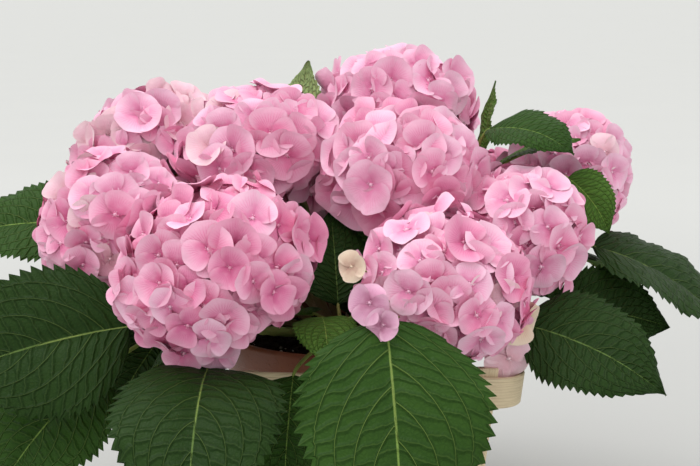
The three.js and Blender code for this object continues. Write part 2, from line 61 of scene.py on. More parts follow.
bl_info = {
    "name": "Potted Hydrangea",
    "version": (1, 0, 0),
    "blender": (4, 5, 0),
    "location": "3D View > Sidebar > Hydrangea",
    "description": "A potted mophead hydrangea in a tapered wooden holder, grown by rule",
    "category": "Add Mesh",
}

# The plan of the plant is in millimetres. Meshes are in metres.
MM = 0.001
UP = np.array([0.0, 0.0, 1.0])
GAP = 0.3
GOLDEN_ANGLE = math.pi * (3 - math.sqrt(5))

# The holder.
SIDE_LEAN = math.tan(math.radians(5.7))
FOOT_HALF_WIDTH = 103
POST_HEIGHT = 184
POST_WIDTH = 28
POST_THICKNESS = 7
POST_OFFSET = 69
HOOP_THICKNESS = 3
HOOP_HEIGHT = 24
UPPER_HOOP_BOTTOM = 158
LOWER_HOOP_BOTTOM = 16
HOOP_CORNER_RADIUS = 22
HOOP_SLOPE = math.tan(math.radians(2.5))
HOLDER_TURN = math.radians(3.5)
HOOP_EASE = 0.8
FLOOR_THICKNESS = 8
FLOOR_CORNER_RADIUS = 20
FLOOR_EASE = 1
HOLDER_CORNER_STEPS = 9

# The pot and its soil.
POT_BOTTOM = FLOOR_THICKNESS + GAP
POT_TOP = 190
POT_TOP_RADIUS = 106
POT_FOOT_RADIUS = 79
POT_WALL = 3
POT_RIM_HEIGHT = 20
POT_RIM_STEP = 3
POT_RIM_WALL = 4
POT_SIDES = 96
POLE = 0.5  # the radius of the small cap that closes a turned shape in its middle
SOIL_TOP = 178
SOIL_BOTTOM = 150

# The stems and the flower heads.
STEM_FOOT_RADIUS = 4.8
STEM_TIP_RADIUS = 2.6
ROOT_SPREAD = 0.18
STEM_RISE = 0.16
STEM_TURN = 0.24
HEAD_LEAN = 0.0034
HEAD_SEAT = 0.8

# The leaves.
LEAF_WIDTH = 0.76
LEAF_FOLD = 0.22
LEAF_FLATTENING = 0.18
PETIOLE_RISE = 14
PETIOLE_BOW = 0.15
LEAF_NODES = [0.4, 0.5, 0.6, 0.7, 0.8, 0.9]
PAIRS = [
    {"at": 0.92, "pitch": 20, "bend": 24, "length": 88},
    {"at": 0.82, "pitch": 8, "bend": 34, "length": 104},
    {"at": 0.72, "pitch": 4, "bend": 44, "length": 118},
    {"at": 0.62, "pitch": 4, "bend": 54, "length": 126},
    {"at": 0.52, "pitch": 8, "bend": 66, "length": 130},
    {"at": 0.42, "pitch": 14, "bend": 84, "length": 126},
]
ROOM = {"head": 2.6, "stem": 8, "leaf": 8.5, "holder": 5, "rim": 4, "soil": 7, "ground": 6}
TRIES = [
    (turn, tilt, share, stalk)
    for share in (1, 0.78, 0.56)
    for stalk in (0.26, 0.55)
    for turn in (0, -20, 20, -42, 42)
    for tilt in (0, 10, -12)
]
PROBE_ROWS = 15
PROBE_HALF_COLUMNS = 5
PROBE_EDGE = 0.98
PETIOLE_PROBES = [0.3, 0.45, 0.6, 0.75, 0.9]
STEM_PROBES = 14

# Each shoot: its name, its flower head's centre, radius and half height, and its key leaves, each with the
# place where its blade starts, azimuth, pitch, bend, roll and length.
SHOOTS = [
    ["front_left", [-98, -126, 265], 75, 61, [
        [-100, -147, 193, -92, 2, 84, 0, 152],
    ]],
    ["far_left", [-187, -34, 280], 60, 59, [
        [-160, -108, 214, -164, -4, 18, 60, 148],
        [-184, -94, 178, -142, -30, 24, 34, 122],
        [-212, -8, 208, -176, -4, 20, 44, 62], [-145, -15, 190, -130, -35, 20, 30, 94],
    ]],
    ["upper_left", [-174, 66, 328], 66, 54, [
        [-214, 34, 266, -178, 6, 24, 34, 118],
    ]],
    ["upper_mid_left", [-76, 6, 331], 63, 55, []],
    ["top", [41, 92, 356], 66, 55, []],
    ["centre", [41, -26, 321], 62, 53, []],
    ["front_right", [69, -120, 250], 63, 57, []],
    ["right", [131, -40, 272], 52, 60, [
        [128, -86, 210, -24, -6, 30, -36, 118], [165, -10, 205, 0, 0, 20, -70, 94],
    ]],
    ["far_right", [186, 72, 306], 52, 58, [
        [198, 18, 250, -10, -12, 40, -12, 142],
    ]],
    ["back_left", [-104, 158, 276], 60, 54, []],
    ["back_centre", [4, 186, 290], 58, 54, []],
    ["back_right", [112, 150, 270], 58, 52, []],
    ["front_middle", [-7, -92, 216], 0, 0, [
        [24, -188, 238, -82, -48, 34, 0, 168],
        [-9, -72, 222, 98, 66, 20, 0, 78],
        [-40, -144, 187, -98, -48, 30, 0, 90],
        [-20, -116, 222, -84, 10, 70, 0, 60],
    ]],
    ["crown_middle", [-50, 70, 318], 0, 0, [
        [-52, 80, 316, 45, 66, 6, 0, 84],
    ]],
    ["right_middle", [96, 18, 300], 0, 0, [
        [108, 32, 322, 56, 76, 10, 50, 64],
        [110, 0, 347, -18, 4, 50, -20, 80],
        [174, 4, 308, -20, -46, 34, -68, 58],
    ]],
]

# How much of each petal tint a head has: blush, rose, deep rose, cream.
HEAD_TINTS = {
    "front_left": (0.15, 0.5, 0.35, 0.0),
    "far_left": (0.3, 0.5, 0.15, 0.05),
    "upper_left": (0.45, 0.1, 0.0, 0.45),
    "upper_mid_left": (0.65, 0.25, 0.0, 0.1),
    "top": (0.95, 0.05, 0.0, 0.0),
    "centre": (0.45, 0.4, 0.15, 0.0),
    "front_right": (0.55, 0.3, 0.1, 0.05),
    "right": (0.35, 0.45, 0.2, 0.0),
    "far_right": (0.75, 0.15, 0.0, 0.1),
}
OTHER_HEAD_TINTS = (0.4, 0.4, 0.1, 0.1)
HEAD_FLORETS = {"top": 1.08, "centre": 1.14, "upper_mid_left": 1.14, "upper_left": 1.06}

# Single faded florets that hang away from their head: the head, the place, the tint and the size.
FADED = [
    ["front_right", [121, -118, 221], "faded", 1.12],
    ["front_right", [115, -114, 192], "cream", 1.1],
    ["front_right", [1, -156, 268], "faded", 0.66],
    ["front_right", [13, -197, 252], "mauve", 0.85],
    ["front_right", [22, -200, 238], "mauve", 0.72],
    ["front_left", [-116, -152, 206], "rose", 1.0],
    ["front_left", [-92, -158, 208], "blush", 0.95],
]


def colour_setting(name, description, default):
    return bpy.props.FloatVectorProperty(
        name=name, description=description, default=default, size=3, min=0, max=1, subtype="COLOR",
    )


class FlowerSettings(bpy.types.PropertyGroup):
    floret_width: bpy.props.FloatProperty(
        name="Floret width", description="Across the four petals of a floret",
        default=0.0335, min=0.02, max=0.07, unit="LENGTH",
    )
    spacing: bpy.props.FloatProperty(
        name="Floret spacing", description="Between the middles of neighbouring florets",
        default=0.0207, min=0.015, max=0.05, unit="LENGTH",
    )
    petal: colour_setting(
        name="Petal", description="Colour of most petals", default=(0.89, 0.385, 0.57),
    )
    heart: colour_setting(
        name="Heart", description="Colour at the foot of the petals", default=(0.8, 0.17, 0.37),
    )
    rim: colour_setting(
        name="Rim", description="Colour along the petals' edge", default=(0.9, 0.54, 0.68),
    )


class LeafSettings(bpy.types.PropertyGroup):
    upper: colour_setting(
        name="Upper side", description="Colour of the blade from above", default=(0.032, 0.082, 0.012),
    )
    vein: colour_setting(
        name="Veins", description="Colour of the veins from above", default=(0.13, 0.21, 0.045),
    )
    under: colour_setting(
        name="Underside", description="Colour of the blade from below", default=(0.12, 0.22, 0.06),
    )
    thickness: bpy.props.FloatProperty(
        name="Blade thickness", description="Of a leaf's blade at the midrib",
        default=0.0008, min=0.0003, max=0.003, unit="LENGTH",
    )


class StemSettings(bpy.types.PropertyGroup):
    green: colour_setting(
        name="Young stem", description="Colour of the young stems", default=(0.16, 0.21, 0.055),
    )
    brown: colour_setting(
        name="Bark", description="Colour of the bark at the foot", default=(0.2, 0.12, 0.06),
    )


class HolderSettings(bpy.types.PropertyGroup):
    wood: colour_setting(
        name="Wood", description="Colour of the bare wood", default=(0.72, 0.6, 0.41),
    )
    pot: colour_setting(
        name="Pot", description="Colour of the pot", default=(0.24, 0.075, 0.035),
    )
    soil: colour_setting(
        name="Soil", description="Colour of the potting soil", default=(0.022, 0.014, 0.01),
    )


class StageSettings(bpy.types.PropertyGroup):
    floor: colour_setting(
        name="Floor", description="Colour of the floor", default=(0.585, 0.59, 0.575),
    )
    distance: bpy.props.FloatProperty(
        name="Camera distance", description="From the point that the camera looks at",
        default=1.09, min=0.3, max=5, unit="LENGTH",
    )
    elevation: bpy.props.FloatProperty(
        name="Camera elevation", description="Above the horizon", default=math.radians(10),
        min=0, max=math.pi / 2, subtype="ANGLE",
    )


# The plan of the shoots.

def unit(vector):
    vector = np.asarray(vector, float)
    return vector / np.linalg.norm(vector, axis=-1, keepdims=True)


def on_curve(controls, share):
    """Points of a Bezier curve at one share of it or at several."""
    share = np.asarray(share, float)[..., None]
    points = [np.asarray(control, float) for control in controls]
    while len(points) > 1:
        points = [a * (1 - share) + b * share for a, b in zip(points, points[1:])]
    return points[0]


class Shoot:
    """A stem with its flower head and leaves."""

    def __init__(self, name, centre, radius, height, key_leaves):
        self.name = name
        self.head = np.array(centre, float)
        self.radius = radius
        self.height = height
        self.key_leaves = key_leaves
        self.leaves = []
        self.axis = unit([self.head[0] * HEAD_LEAN, self.head[1] * HEAD_LEAN, 1])
        self.sideways = unit([self.axis[2], 0, -self.axis[0]])
        self.forwards = np.cross(self.axis, self.sideways)
        self.seat = height * HEAD_SEAT
        foot = np.array([self.head[0] * ROOT_SPREAD, self.head[1] * ROOT_SPREAD, SOIL_TOP + GAP])
        tip = self.head - self.axis * self.seat
        span = np.linalg.norm(tip - foot)
        self.stem = [foot, foot + UP * span * STEM_RISE, tip - self.axis * span * STEM_TURN, tip]

    def depth(self, points, margin):
        """How far out points lie from the head's middle, where 1 is its surface grown by a margin."""
        offset = points - self.head
        across = self.radius + margin
        return np.sqrt(
            (offset @ self.sideways / across) ** 2
            + (offset @ self.forwards / across) ** 2
            + (offset @ self.axis / (self.height + margin)) ** 2
        )

    def reach(self, polar, around):
        across = self.radius * math.sin(polar)
        return (
            self.sideways * across * math.cos(around)
            + self.forwards * across * math.sin(around)
            + self.axis * self.height * math.cos(polar)
        )


def share_before_neighbours(shoot, reach, heads):
    """The share of a ray from a head's middle that stays on its side of the planes to its neighbours."""
    share = 1.0
    for other in heads:
        if other is shoot:
            continue
        towards = other.head - shoot.head
        distance = np.linalg.norm(towards)
        plane = (distance ** 2 + shoot.radius ** 2 - other.radius ** 2) / (2 * distance) - GAP
        share = min(share, plane / max(reach @ towards / distance, plane))
    return share


# The growth of the leaves.

Leaf = collections.namedtuple("Leaf", "node base azimuth pitch bend roll length")


def leaf_shape(u):
    return np.maximum(0, np.sin(math.pi * u ** 0.72)) ** 0.75 * (1 - 0.45 * u ** 6)


def on_leaf(leaf, u, v, lift=0.0):
    """Points of the blade at u along it, v across it from -1 to 1, and lift above it."""
    u = np.asarray(u, float)
    v = np.asarray(v, float)
    turn, start, bend, roll = (
        math.radians(angle) for angle in (leaf.azimuth, leaf.pitch, leaf.bend, leaf.roll)
    )
    slope = start - bend * u
    out = (math.sin(start) - np.sin(slope)) / bend * leaf.length
    rise = (np.cos(slope) - math.cos(start)) / bend * leaf.length
    forward = np.array([math.cos(turn), math.sin(turn), 0])
    tangent = forward * np.cos(slope)[..., None] + UP * np.sin(slope)[..., None]
    flat_side = np.array([math.sin(turn), -math.cos(turn), 0])
    flat_up = np.cross(flat_side, tangent)
    side = flat_side * math.cos(roll) + flat_up * math.sin(roll)
    up = flat_up * math.cos(roll) - flat_side * math.sin(roll)
    half_width = leaf.length * LEAF_WIDTH * leaf_shape(u) / 2
    fold = half_width * (LEAF_FOLD * np.abs(v) - LEAF_FLATTENING * v * v)
    point = leaf.base + forward * out[..., None] + UP * rise[..., None]
    return point + side * (v * half_width)[..., None] + up * (fold + lift)[..., None]


def petiole_line(leaf):
    start = unit(on_leaf(leaf, 0.04, 0) - leaf.base)
    bow = leaf.base - start * PETIOLE_BOW * np.linalg.norm(leaf.node - leaf.base)
    return [leaf.node, bow, leaf.base]


PROBE_U, PROBE_V = np.meshgrid(
    np.linspace(1 - PROBE_EDGE, 1, PROBE_ROWS),
    np.linspace(-PROBE_EDGE, PROBE_EDGE, 2 * PROBE_HALF_COLUMNS + 1),
    indexing="ij",
)


class Probe:
    """Points spread over a leaf, which stand for it when room is looked for."""

    def __init__(self, leaf):
        self.blade = on_leaf(leaf, PROBE_U.ravel(), PROBE_V.ravel())
        self.petiole = on_curve(petiole_line(leaf), PETIOLE_PROBES)
        self.points = np.vstack([self.blade, self.petiole])
        self.middle = on_leaf(leaf, 0.4, 0)
        self.reach = np.linalg.norm(self.points - self.middle, axis=1).max()


def clear_of_pot(points):
    """Whether points are clear of the ground, of the holder and of the pot's rim."""
    from_axis = np.hypot(points[:, 0], points[:, 1])
    z = points[:, 2]
    cos, sin = math.cos(HOLDER_TURN), math.sin(HOLDER_TURN)
    turned_x = points[:, 0] * cos + points[:, 1] * sin
    turned_y = points[:, 1] * cos - points[:, 0] * sin
    hoop_top = UPPER_HOOP_BOTTOM + HOOP_HEIGHT - turned_x * HOOP_SLOPE
    reach = np.maximum(np.abs(turned_x), np.abs(turned_y))
    over_hoop = (from_axis > POT_TOP_RADIUS + ROOM["rim"]) & (z > hoop_top + ROOM["rim"])
    beside = reach > FOOT_HALF_WIDTH + z * SIDE_LEAN + HOOP_THICKNESS + ROOM["holder"]
    inside = from_axis < POT_TOP_RADIUS - ROOM["soil"]
    clear = np.where(inside, z > SOIL_TOP + ROOM["soil"], over_hoop | beside)
    return bool(np.all((z >= ROOM["ground"]) & ((z > POT_TOP + ROOM["rim"]) | clear)))


def far_from(points, others, room):
    return bool(np.all(((points[:, None] - others[None]) ** 2).sum(2) > room * room))


def has_room(shoot, space, grown, shoots, heads):
    if not clear_of_pot(space.points):
        return False
    for other in heads:
        if not np.all(other.depth(space.points, ROOM["head"]) > 1):
            return False
    for other in shoots:
        near = np.linalg.norm(other.middle - space.middle) < space.reach + other.span + ROOM["stem"]
        if not near:
            continue
        if not far_from(space.blade, other.probes, ROOM["stem"]):
            return False
        if other is not shoot and not far_from(space.petiole, other.probes, ROOM["stem"]):
            return False
    for other in grown:
        apart = np.linalg.norm(space.middle - other.middle)
        if apart > space.reach + other.reach + ROOM["leaf"]:
            continue
        if not far_from(space.points, other.points, ROOM["leaf"]):
            return False
    return True


def placed_leaf(shoot, key):
    """A leaf that starts at a given point, from the nearest node, and rather from a lower one."""
    base = np.array(key[:3], float)
    azimuth, pitch, bend, roll, length = key[3:]
    nodes = on_curve(shoot.stem, LEAF_NODES)
    cost = np.linalg.norm(nodes - base, axis=1) + 2 * np.maximum(0, nodes[:, 2] - base[2])
    node = nodes[int(cost.argmin())]
    return lambda turn, tilt, share, stalk: Leaf(
        node, base, azimuth + turn, pitch + tilt, bend, roll, length * share
    )


def free_leaf(shoot, pair, azimuth):
    """A leaf that starts where its own petiole takes it, out from a node."""
    node = on_curve(shoot.stem, pair["at"])

    def wanted(turn, tilt, share, stalk):
        heading = math.radians(azimuth + turn)
        rise = math.radians(pair["pitch"] + tilt + PETIOLE_RISE)
        direction = np.array([
            math.cos(heading) * math.cos(rise), math.sin(heading) * math.cos(rise), math.sin(rise),
        ])
        length = pair["length"] * share
        base = node + direction * length * stalk
        return Leaf(node, base, azimuth + turn, pair["pitch"] + tilt, pair["bend"], 0, length)

    return wanted


def grow():
    """All shoots, with the leaves that find room on them."""
    shoots = [Shoot(*row) for row in SHOOTS]
    heads = [shoot for shoot in shoots if shoot.radius > 0]
    for shoot in shoots:
        shoot.probes = on_curve(shoot.stem, np.arange(STEM_PROBES) / STEM_PROBES)
        shoot.middle = shoot.probes.mean(0)
        shoot.span = np.linalg.norm(shoot.probes - shoot.middle, axis=1).max()
    grown = []

    def grow_leaf(shoot, wanted):
        for change in TRIES:
            leaf = wanted(*change)
            space = Probe(leaf)
            if has_room(shoot, space, grown, shoots, heads):
                grown.append(space)
                shoot.leaves.append(leaf)
                return

    for shoot in shoots:
        for key in shoot.key_leaves:
            grow_leaf(shoot, placed_leaf(shoot, key))
    for level, pair in enumerate(PAIRS):
        for shoot in shoots:
            outwards = math.degrees(math.atan2(shoot.head[1], shoot.head[0])) + level * 90
            for side in (0, 180):
                grow_leaf(shoot, free_leaf(shoot, pair, outwards + side))
    return shoots, heads


# Mesh making.

CELL_MARGIN = 0.03  # of a cell's width


class Build:
    """Points, faces, a map and material numbers, gathered for one mesh. The map is given by face corner."""

    def __init__(self):
        self.points = []
        self.faces = []
        self.corners = []
        self.numbers = []
        self.count = 0

    def add(self, points, faces, corners, numbers=0):
        """Adds a skin. faces are lists of point numbers, corners their places on the map, and numbers is
        the material's number for all faces or a list with one for each."""
        self.points.append(points)
        self.faces += [[self.count + i for i in face] for face in faces]
        self.corners += corners
        self.numbers += numbers if isinstance(numbers, list) else [numbers] * len(faces)
        self.count += len(points)

    def mesh(self, name, map_name, materials, sharp, scale=MM):
        mesh = bpy.data.meshes.new(name)
        mesh.from_pydata((np.vstack(self.points) * scale).tolist(), [], self.faces)
        layer = mesh.uv_layers.new(name=map_name)
        layer.data.foreach_set("uv", np.array(self.corners, np.float32).ravel())
        for material in materials:
            mesh.materials.append(material)
        mesh.polygons.foreach_set("material_index", self.numbers)
        mesh.polygons.foreach_set("use_smooth", [True] * len(mesh.polygons))
        mesh.set_sharp_from_angle(angle=math.radians(sharp))
        mesh.update()
        return mesh


def show(name, data):
    piece = bpy.data.objects.new(name, data)
    bpy.context.scene.collection.objects.link(piece)
    return piece


def circle(radius, height, sides):
    """A level ring of points round the upright axis."""
    angles = np.arange(sides) / sides * math.tau
    return np.stack([radius * np.cos(angles), radius * np.sin(angles), np.full(sides, height)], axis=1)


def signed_volume(points, faces):
    volume = 0.0
    for face in faces:
        first = points[face[0]]
        for second, third in zip(face[1:], face[2:]):
            volume += first @ np.cross(points[second], points[third])
    return volume


def loft(build, rings, along, across, number=0, closed=False):
    """Skins rings of equal count, one after another, with a flat cap at each end unless they close. along
    has a place on the map for each ring and across one for each step round it, with one more to close."""
    rings = np.asarray(rings, float)
    count, size = rings.shape[:2]
    points = rings.reshape(-1, 3)
    faces, corners = [], []
    for ring in range(count if closed else count - 1):
        there = (ring + 1) % count
        for step in range(size):
            turn = (step + 1) % size
            faces.append([ring * size + step, ring * size + turn, there * size + turn, there * size + step])
            corners += [
                (along[ring], across[step]), (along[ring], across[step + 1]),
                (along[ring + 1], across[step + 1]), (along[ring + 1], across[step]),
            ]
    if not closed:
        for ring, order in ((0, range(size - 1, -1, -1)), (count - 1, range(size))):
            faces.append([ring * size + step for step in order])
            corners += [tuple(points[ring * size + step][:2] * MM) for step in order]
    if signed_volume(points, faces) < 0:
        turned, start = [], 0
        for face in faces:
            turned += corners[start:start + len(face)][::-1]
            start += len(face)
        faces = [face[::-1] for face in faces]
        corners = turned
    build.add(points, faces, corners, number)


def lofted(*shape, **settings):
    """A build of a single loft."""
    build = Build()
    loft(build, *shape, **settings)
    return build


def steps_along(path):
    """The distance along a path to each of its points, in metres."""
    lengths = np.linalg.norm(np.diff(path, axis=0), axis=1)
    return np.concatenate([[0], np.cumsum(lengths)]) * MM


def tube(build, path, radii, sides, number=0, ridges=0.0):
    """A round limb along a path, closed at both ends. ridges gives it six low ribs."""
    path = np.asarray(path, float)
    tangents = unit(np.gradient(path, axis=0))
    side = np.cross(tangents[0], UP)
    if np.linalg.norm(side) < 1e-4:
        side = np.array([1.0, 0.0, 0.0])
    rings = []
    angles = np.arange(sides) / sides * math.tau
    for point, tangent, radius in zip(path, tangents, radii):
        side = unit(side - tangent * (side @ tangent))
        up = np.cross(side, tangent)
        reach = radius * (1 + ridges * np.cos(6 * angles))
        rings.append(point + np.outer(np.cos(angles) * reach, side) + np.outer(np.sin(angles) * reach, up))
    around = np.linspace(0, math.tau * max(radii) * MM, sides + 1)
    loft(build, rings, steps_along(path), around, number)


def bake_cells(mesh, local_name, count):
    """A second map, with a cell of its own for each material, for use where the colours are baked."""
    local = np.empty(len(mesh.loops) * 2, np.float32)
    mesh.uv_layers[local_name].data.foreach_get("uv", local)
    local = np.clip(local.reshape(-1, 2), 0, 1)
    numbers = np.empty(len(mesh.polygons), np.int32)
    mesh.polygons.foreach_get("material_index", numbers)
    sizes = np.empty(len(mesh.polygons), np.int32)
    mesh.polygons.foreach_get("loop_total", sizes)
    number = np.repeat(numbers, sizes)
    grid = math.ceil(math.sqrt(count))
    cell = np.stack([number % grid, number // grid], axis=1)
    cells = (cell + CELL_MARGIN + local * (1 - 2 * CELL_MARGIN)) / grid
    layer = mesh.uv_layers.new(name="OFBake")
    layer.data.foreach_set("uv", cells.astype(np.float32).ravel())
    mesh.uv_layers.active = mesh.uv_layers[local_name]


# Materials.

class Nodes:
    """A node tree that is built up node by node."""

    def __init__(self, tree):
        self.tree = tree

    def put(self, value, socket):
        if isinstance(value, bpy.types.NodeSocket):
            self.tree.links.new(value, socket)
        elif isinstance(value, (tuple, list)) and socket.type == "RGBA":
            socket.default_value = (*value, 1)
        else:
            socket.default_value = value

    def node(self, kind, inputs, **settings):
        node = self.tree.nodes.new(kind)
        for name, value in settings.items():
            setattr(node, name, value)
        for key, value in inputs.items():
            self.put(value, node.inputs[key])
        return node

    def math(self, operation, *values):
        return self.node("ShaderNodeMath", dict(enumerate(values)), operation=operation).outputs[0]

    def times(self, first, second):
        return self.math("MULTIPLY", first, second)


class Finish(Nodes):
    """A material."""

    def __init__(self, name, roughness, specular):
        self.material = bpy.data.materials.new(name)
        self.material.use_nodes = True
        super().__init__(self.material.node_tree)
        self.shader = self.tree.nodes["Principled BSDF"]
        self.shader.inputs["Roughness"].default_value = roughness
        self.shader.inputs["Specular IOR Level"].default_value = specular

    def line(self, value, slope, start):
        """The value times the slope, added to the start."""
        return self.math("MULTIPLY_ADD", value, slope, start)

    def fold(self, value):
        """0 in the middle of a value that runs from 0 to 1, and 1 at both of its ends."""
        return self.math("ABSOLUTE", self.line(value, 2.0, -1.0))

    def smooth(self, value, low, high):
        """0 below low, 1 above high, and a smooth way between."""
        node = self.node(
            "ShaderNodeMapRange", {"Value": value, "From Min": low, "From Max": high},
            interpolation_type="SMOOTHSTEP",
        )
        return node.outputs[0]

    def less(self, value, low, high):
        return self.math("SUBTRACT", 1.0, self.smooth(value, low, high))

    def mix(self, share, first, second):
        node = self.node("ShaderNodeMix", {0: share, 6: first, 7: second}, data_type="RGBA")
        return node.outputs[2]

    def over(self, under, mask, strength, colour):
        """A colour laid over another where the mask is high, as thickly as the strength says."""
        return self.mix(self.times(mask, strength), under, colour)

    def vary(self, share, colour, low, high):
        """A way between two shades of a colour, each given by its shares of red, green and blue."""
        return self.mix(share, scaled(colour, *low), scaled(colour, *high))

    def map(self, name):
        places = self.node("ShaderNodeUVMap", {}, uv_map=name).outputs[0]
        split = self.node("ShaderNodeSeparateXYZ", {0: places})
        return places, split.outputs[0], split.outputs[1]

    def place(self):
        return self.tree.nodes.new("ShaderNodeTexCoord").outputs["Object"]

    def stretched(self, places, scale):
        return self.node("ShaderNodeMapping", {"Vector": places, "Scale": scale}).outputs[0]

    def noise(self, places, scale, detail, rough=0.55, distortion=0.0):
        return self.node("ShaderNodeTexNoise", {
            "Vector": places, "Scale": scale, "Detail": detail,
            "Roughness": rough, "Distortion": distortion,
        }).outputs["Fac"]

    def cells(self, places, scale, feature):
        node = self.node("ShaderNodeTexVoronoi", {"Vector": places, "Scale": scale}, feature=feature)
        return node.outputs["Distance"]

    def finish(self, colour, height=None, depth=None, roughness=None):
        self.put(colour, self.shader.inputs["Base Color"])
        if roughness is not None:
            self.put(roughness, self.shader.inputs["Roughness"])
        if height is not None:
            bump = self.node("ShaderNodeBump", {"Height": height, "Distance": depth, "Strength": 1.0})
            self.put(bump.outputs[0], self.shader.inputs["Normal"])
        return self.material


def scaled(colour, *shares):
    return tuple(min(1.0, channel * share) for channel, share in zip(colour, shares))


def petal_finish(name, petal, heart, rim):
    """Faint veins that fan out from a deep heart to a pale edge."""
    made = Finish(name, roughness=0.6, specular=0.25)
    places, x, y = made.map("Petal")
    across = made.fold(x)
    wander = made.noise(places, 4.0, 3.0)
    colour = made.over(petal, made.less(made.line(wander, 0.3, y), 0.1, 0.85), 0.95, heart)
    edge = made.math("MAXIMUM", made.smooth(y, 0.55, 1.0), made.smooth(across, 0.5, 1.0))
    colour = made.over(colour, edge, 0.65, rim)
    spread = made.math("DIVIDE", made.math("SUBTRACT", x, 0.5), made.math("ADD", y, 0.16))
    fan = made.line(spread, 74.0, made.times(wander, 7.0))
    veins = made.smooth(made.math("SINE", fan), 0.25, 1.0)
    veins = made.times(veins, made.less(made.math("MAXIMUM", y, across), 0.4, 0.95))
    colour = made.over(colour, veins, 0.6, heart)
    blotch = made.smooth(made.noise(places, 2.2, 2.0), 0.45, 0.75)
    colour = made.over(colour, blotch, 0.3, rim)
    height = made.line(veins, -0.25, made.noise(places, 6.0, 3.0))
    return made.finish(colour, height, 0.0005)


def leaf_veins(made, x, y, wander):
    """The midrib, the side veins, and the cross veins with the swellings that they part, as shares."""
    across = made.fold(x)
    slope = made.line(y, VEIN_LEAN, made.line(across, VEIN_CURVE, VEIN_SLOPE))
    along = made.math("SUBTRACT", made.math("SUBTRACT", y, made.times(across, slope)), VEIN_START)
    place = made.line(along, VEINS, made.times(made.smooth(x, 0.49, 0.51), VEIN_STEP))
    aside = made.fold(made.math("FRACT", made.math("ADD", place, 0.5)))
    side_veins = made.less(aside, 0.02, made.line(across, -0.045, 0.085))
    side_veins = made.times(side_veins, made.smooth(place, -1.4, -1.2))
    side_veins = made.times(side_veins, made.less(across, 0.86, 1.0))
    midrib = made.less(across, 0.005, made.line(y, -0.01, 0.024))
    rungs = made.line(made.math("FLOOR", place), 0.37, made.times(wander, 2.6))
    rungs = made.math("ADD", rungs, made.line(across, -2.2, made.times(y, 17.0)))
    rung = made.fold(made.math("FRACT", rungs))
    swelling = made.times(made.less(rung, 0.35, 1.0), made.smooth(aside, 0.0, 0.3))
    return midrib, side_veins, made.smooth(rung, 0.86, 0.98), swelling


def leaf_upper_finish(name, blade, vein):
    """A quilted dark blade with sunken yellow-green veins and a dull sheen."""
    made = Finish(name, roughness=0.5, specular=0.09)
    places, x, y = made.map("Leaf")
    tone = made.noise(places, 2.5, 4.0)
    midrib, side_veins, cross_veins, swelling = leaf_veins(made, x, y, tone)
    pores = made.cells(made.stretched(places, (40, 52, 1)), 1.0, "DISTANCE_TO_EDGE")
    pores = made.smooth(pores, 0.0, 0.3)
    colour = made.vary(made.smooth(tone, 0.3, 0.7), blade, (0.78, 0.84, 0.8), (1.25, 1.2, 1.2))
    # Painted shade: the blade is darker towards its sunken veins, in the hollows round its swellings.
    colour = made.over(scaled(blade, 0.6, 0.66, 0.7), swelling, 0.6, colour)
    colour = made.over(colour, pores, 0.2, scaled(blade, 1.5, 1.35, 1.2))
    colour = made.over(colour, cross_veins, 0.2, vein)
    colour = made.over(colour, side_veins, 0.75, vein)
    colour = made.over(colour, midrib, 0.95, scaled(vein, 1.5, 1.45, 1.5))
    height = made.line(side_veins, -0.8, made.line(pores, 0.14, swelling))
    rough = made.line(made.noise(places, 30.0, 2.0), 0.2, 0.4)
    return made.finish(colour, height, 0.001, rough)


def leaf_under_finish(name, blade, vein):
    """A pale, matt underside on which the veins stand out."""
    made = Finish(name, roughness=0.7, specular=0.15)
    places, x, y = made.map("Leaf")
    tone = made.noise(places, 4.0, 3.0)
    midrib, side_veins, cross_veins, swelling = leaf_veins(made, x, y, tone)
    colour = made.vary(tone, blade, (0.75, 0.8, 0.75), (1.2, 1.15, 1.2))
    # Painted shade: the underside is darker in the sunken middles between its raised veins.
    colour = made.over(colour, swelling, 0.35, scaled(blade, 0.7, 0.75, 0.7))
    colour = made.over(colour, cross_veins, 0.35, vein)
    colour = made.mix(made.math("MAXIMUM", midrib, side_veins), colour, vein)
    raised = made.math("MAXIMUM", side_veins, made.times(cross_veins, 0.5))
    return made.finish(colour, made.line(swelling, -0.6, raised), 0.001)


def stem_finish(name, green, brown, bark_top):
    """Green with darker flecks, and brown bark at the foot."""
    made = Finish(name, roughness=0.6, specular=0.35)
    places, x, _ = made.map("Grain")
    streaks = made.noise(made.stretched(places, (60, 900, 1)), 1.0, 4.0)
    flecks = made.less(made.cells(made.stretched(places, (170, 420, 1)), 1.0, "F1"), 0.1, 0.24)
    colour = made.vary(streaks, green, (0.75, 0.8, 0.75), (1.3, 1.2, 1.2))
    colour = made.over(colour, flecks, 0.6, scaled(brown, 0.8, 0.7, 0.7))
    bark = made.less(made.line(streaks, -0.03, x), bark_top * 0.2, bark_top)
    colour = made.over(colour, bark, 0.85, made.vary(streaks, brown, (1, 1, 1), (1.7, 1.7, 1.7)))
    return made.finish(colour, made.line(flecks, 0.6, streaks), 0.0006)


def wood_finish(colour):
    """Bare pale wood, with grain along each part and a few darker pores."""
    made = Finish("Pale wood", roughness=0.62, specular=0.3)
    places, _, y = made.map("Grain")
    warp = made.noise(made.stretched(places, (7, 40, 1)), 1.0, 3.0, 0.5, 0.6)
    late = made.smooth(made.math("SINE", made.line(y, 2600.0, made.times(warp, 26.0))), 0.1, 1.0)
    pores = made.noise(made.stretched(places, (45, 1500, 1)), 1.0, 5.0, 0.6)
    shade = made.vary(made.times(late, 0.3), colour, (1.08, 1.08, 1.06), (0.8, 0.74, 0.64))
    shade = made.mix(made.smooth(pores, 0.5, 0.75), shade, scaled(colour, 0.7, 0.62, 0.52))
    marks = made.smooth(made.noise(made.place(), 22.0, 3.0), 0.55, 0.8)
    shade = made.over(shade, marks, 0.25, scaled(colour, 0.7, 0.66, 0.6))
    return made.finish(shade, made.line(late, 0.3, pores), 0.0004)


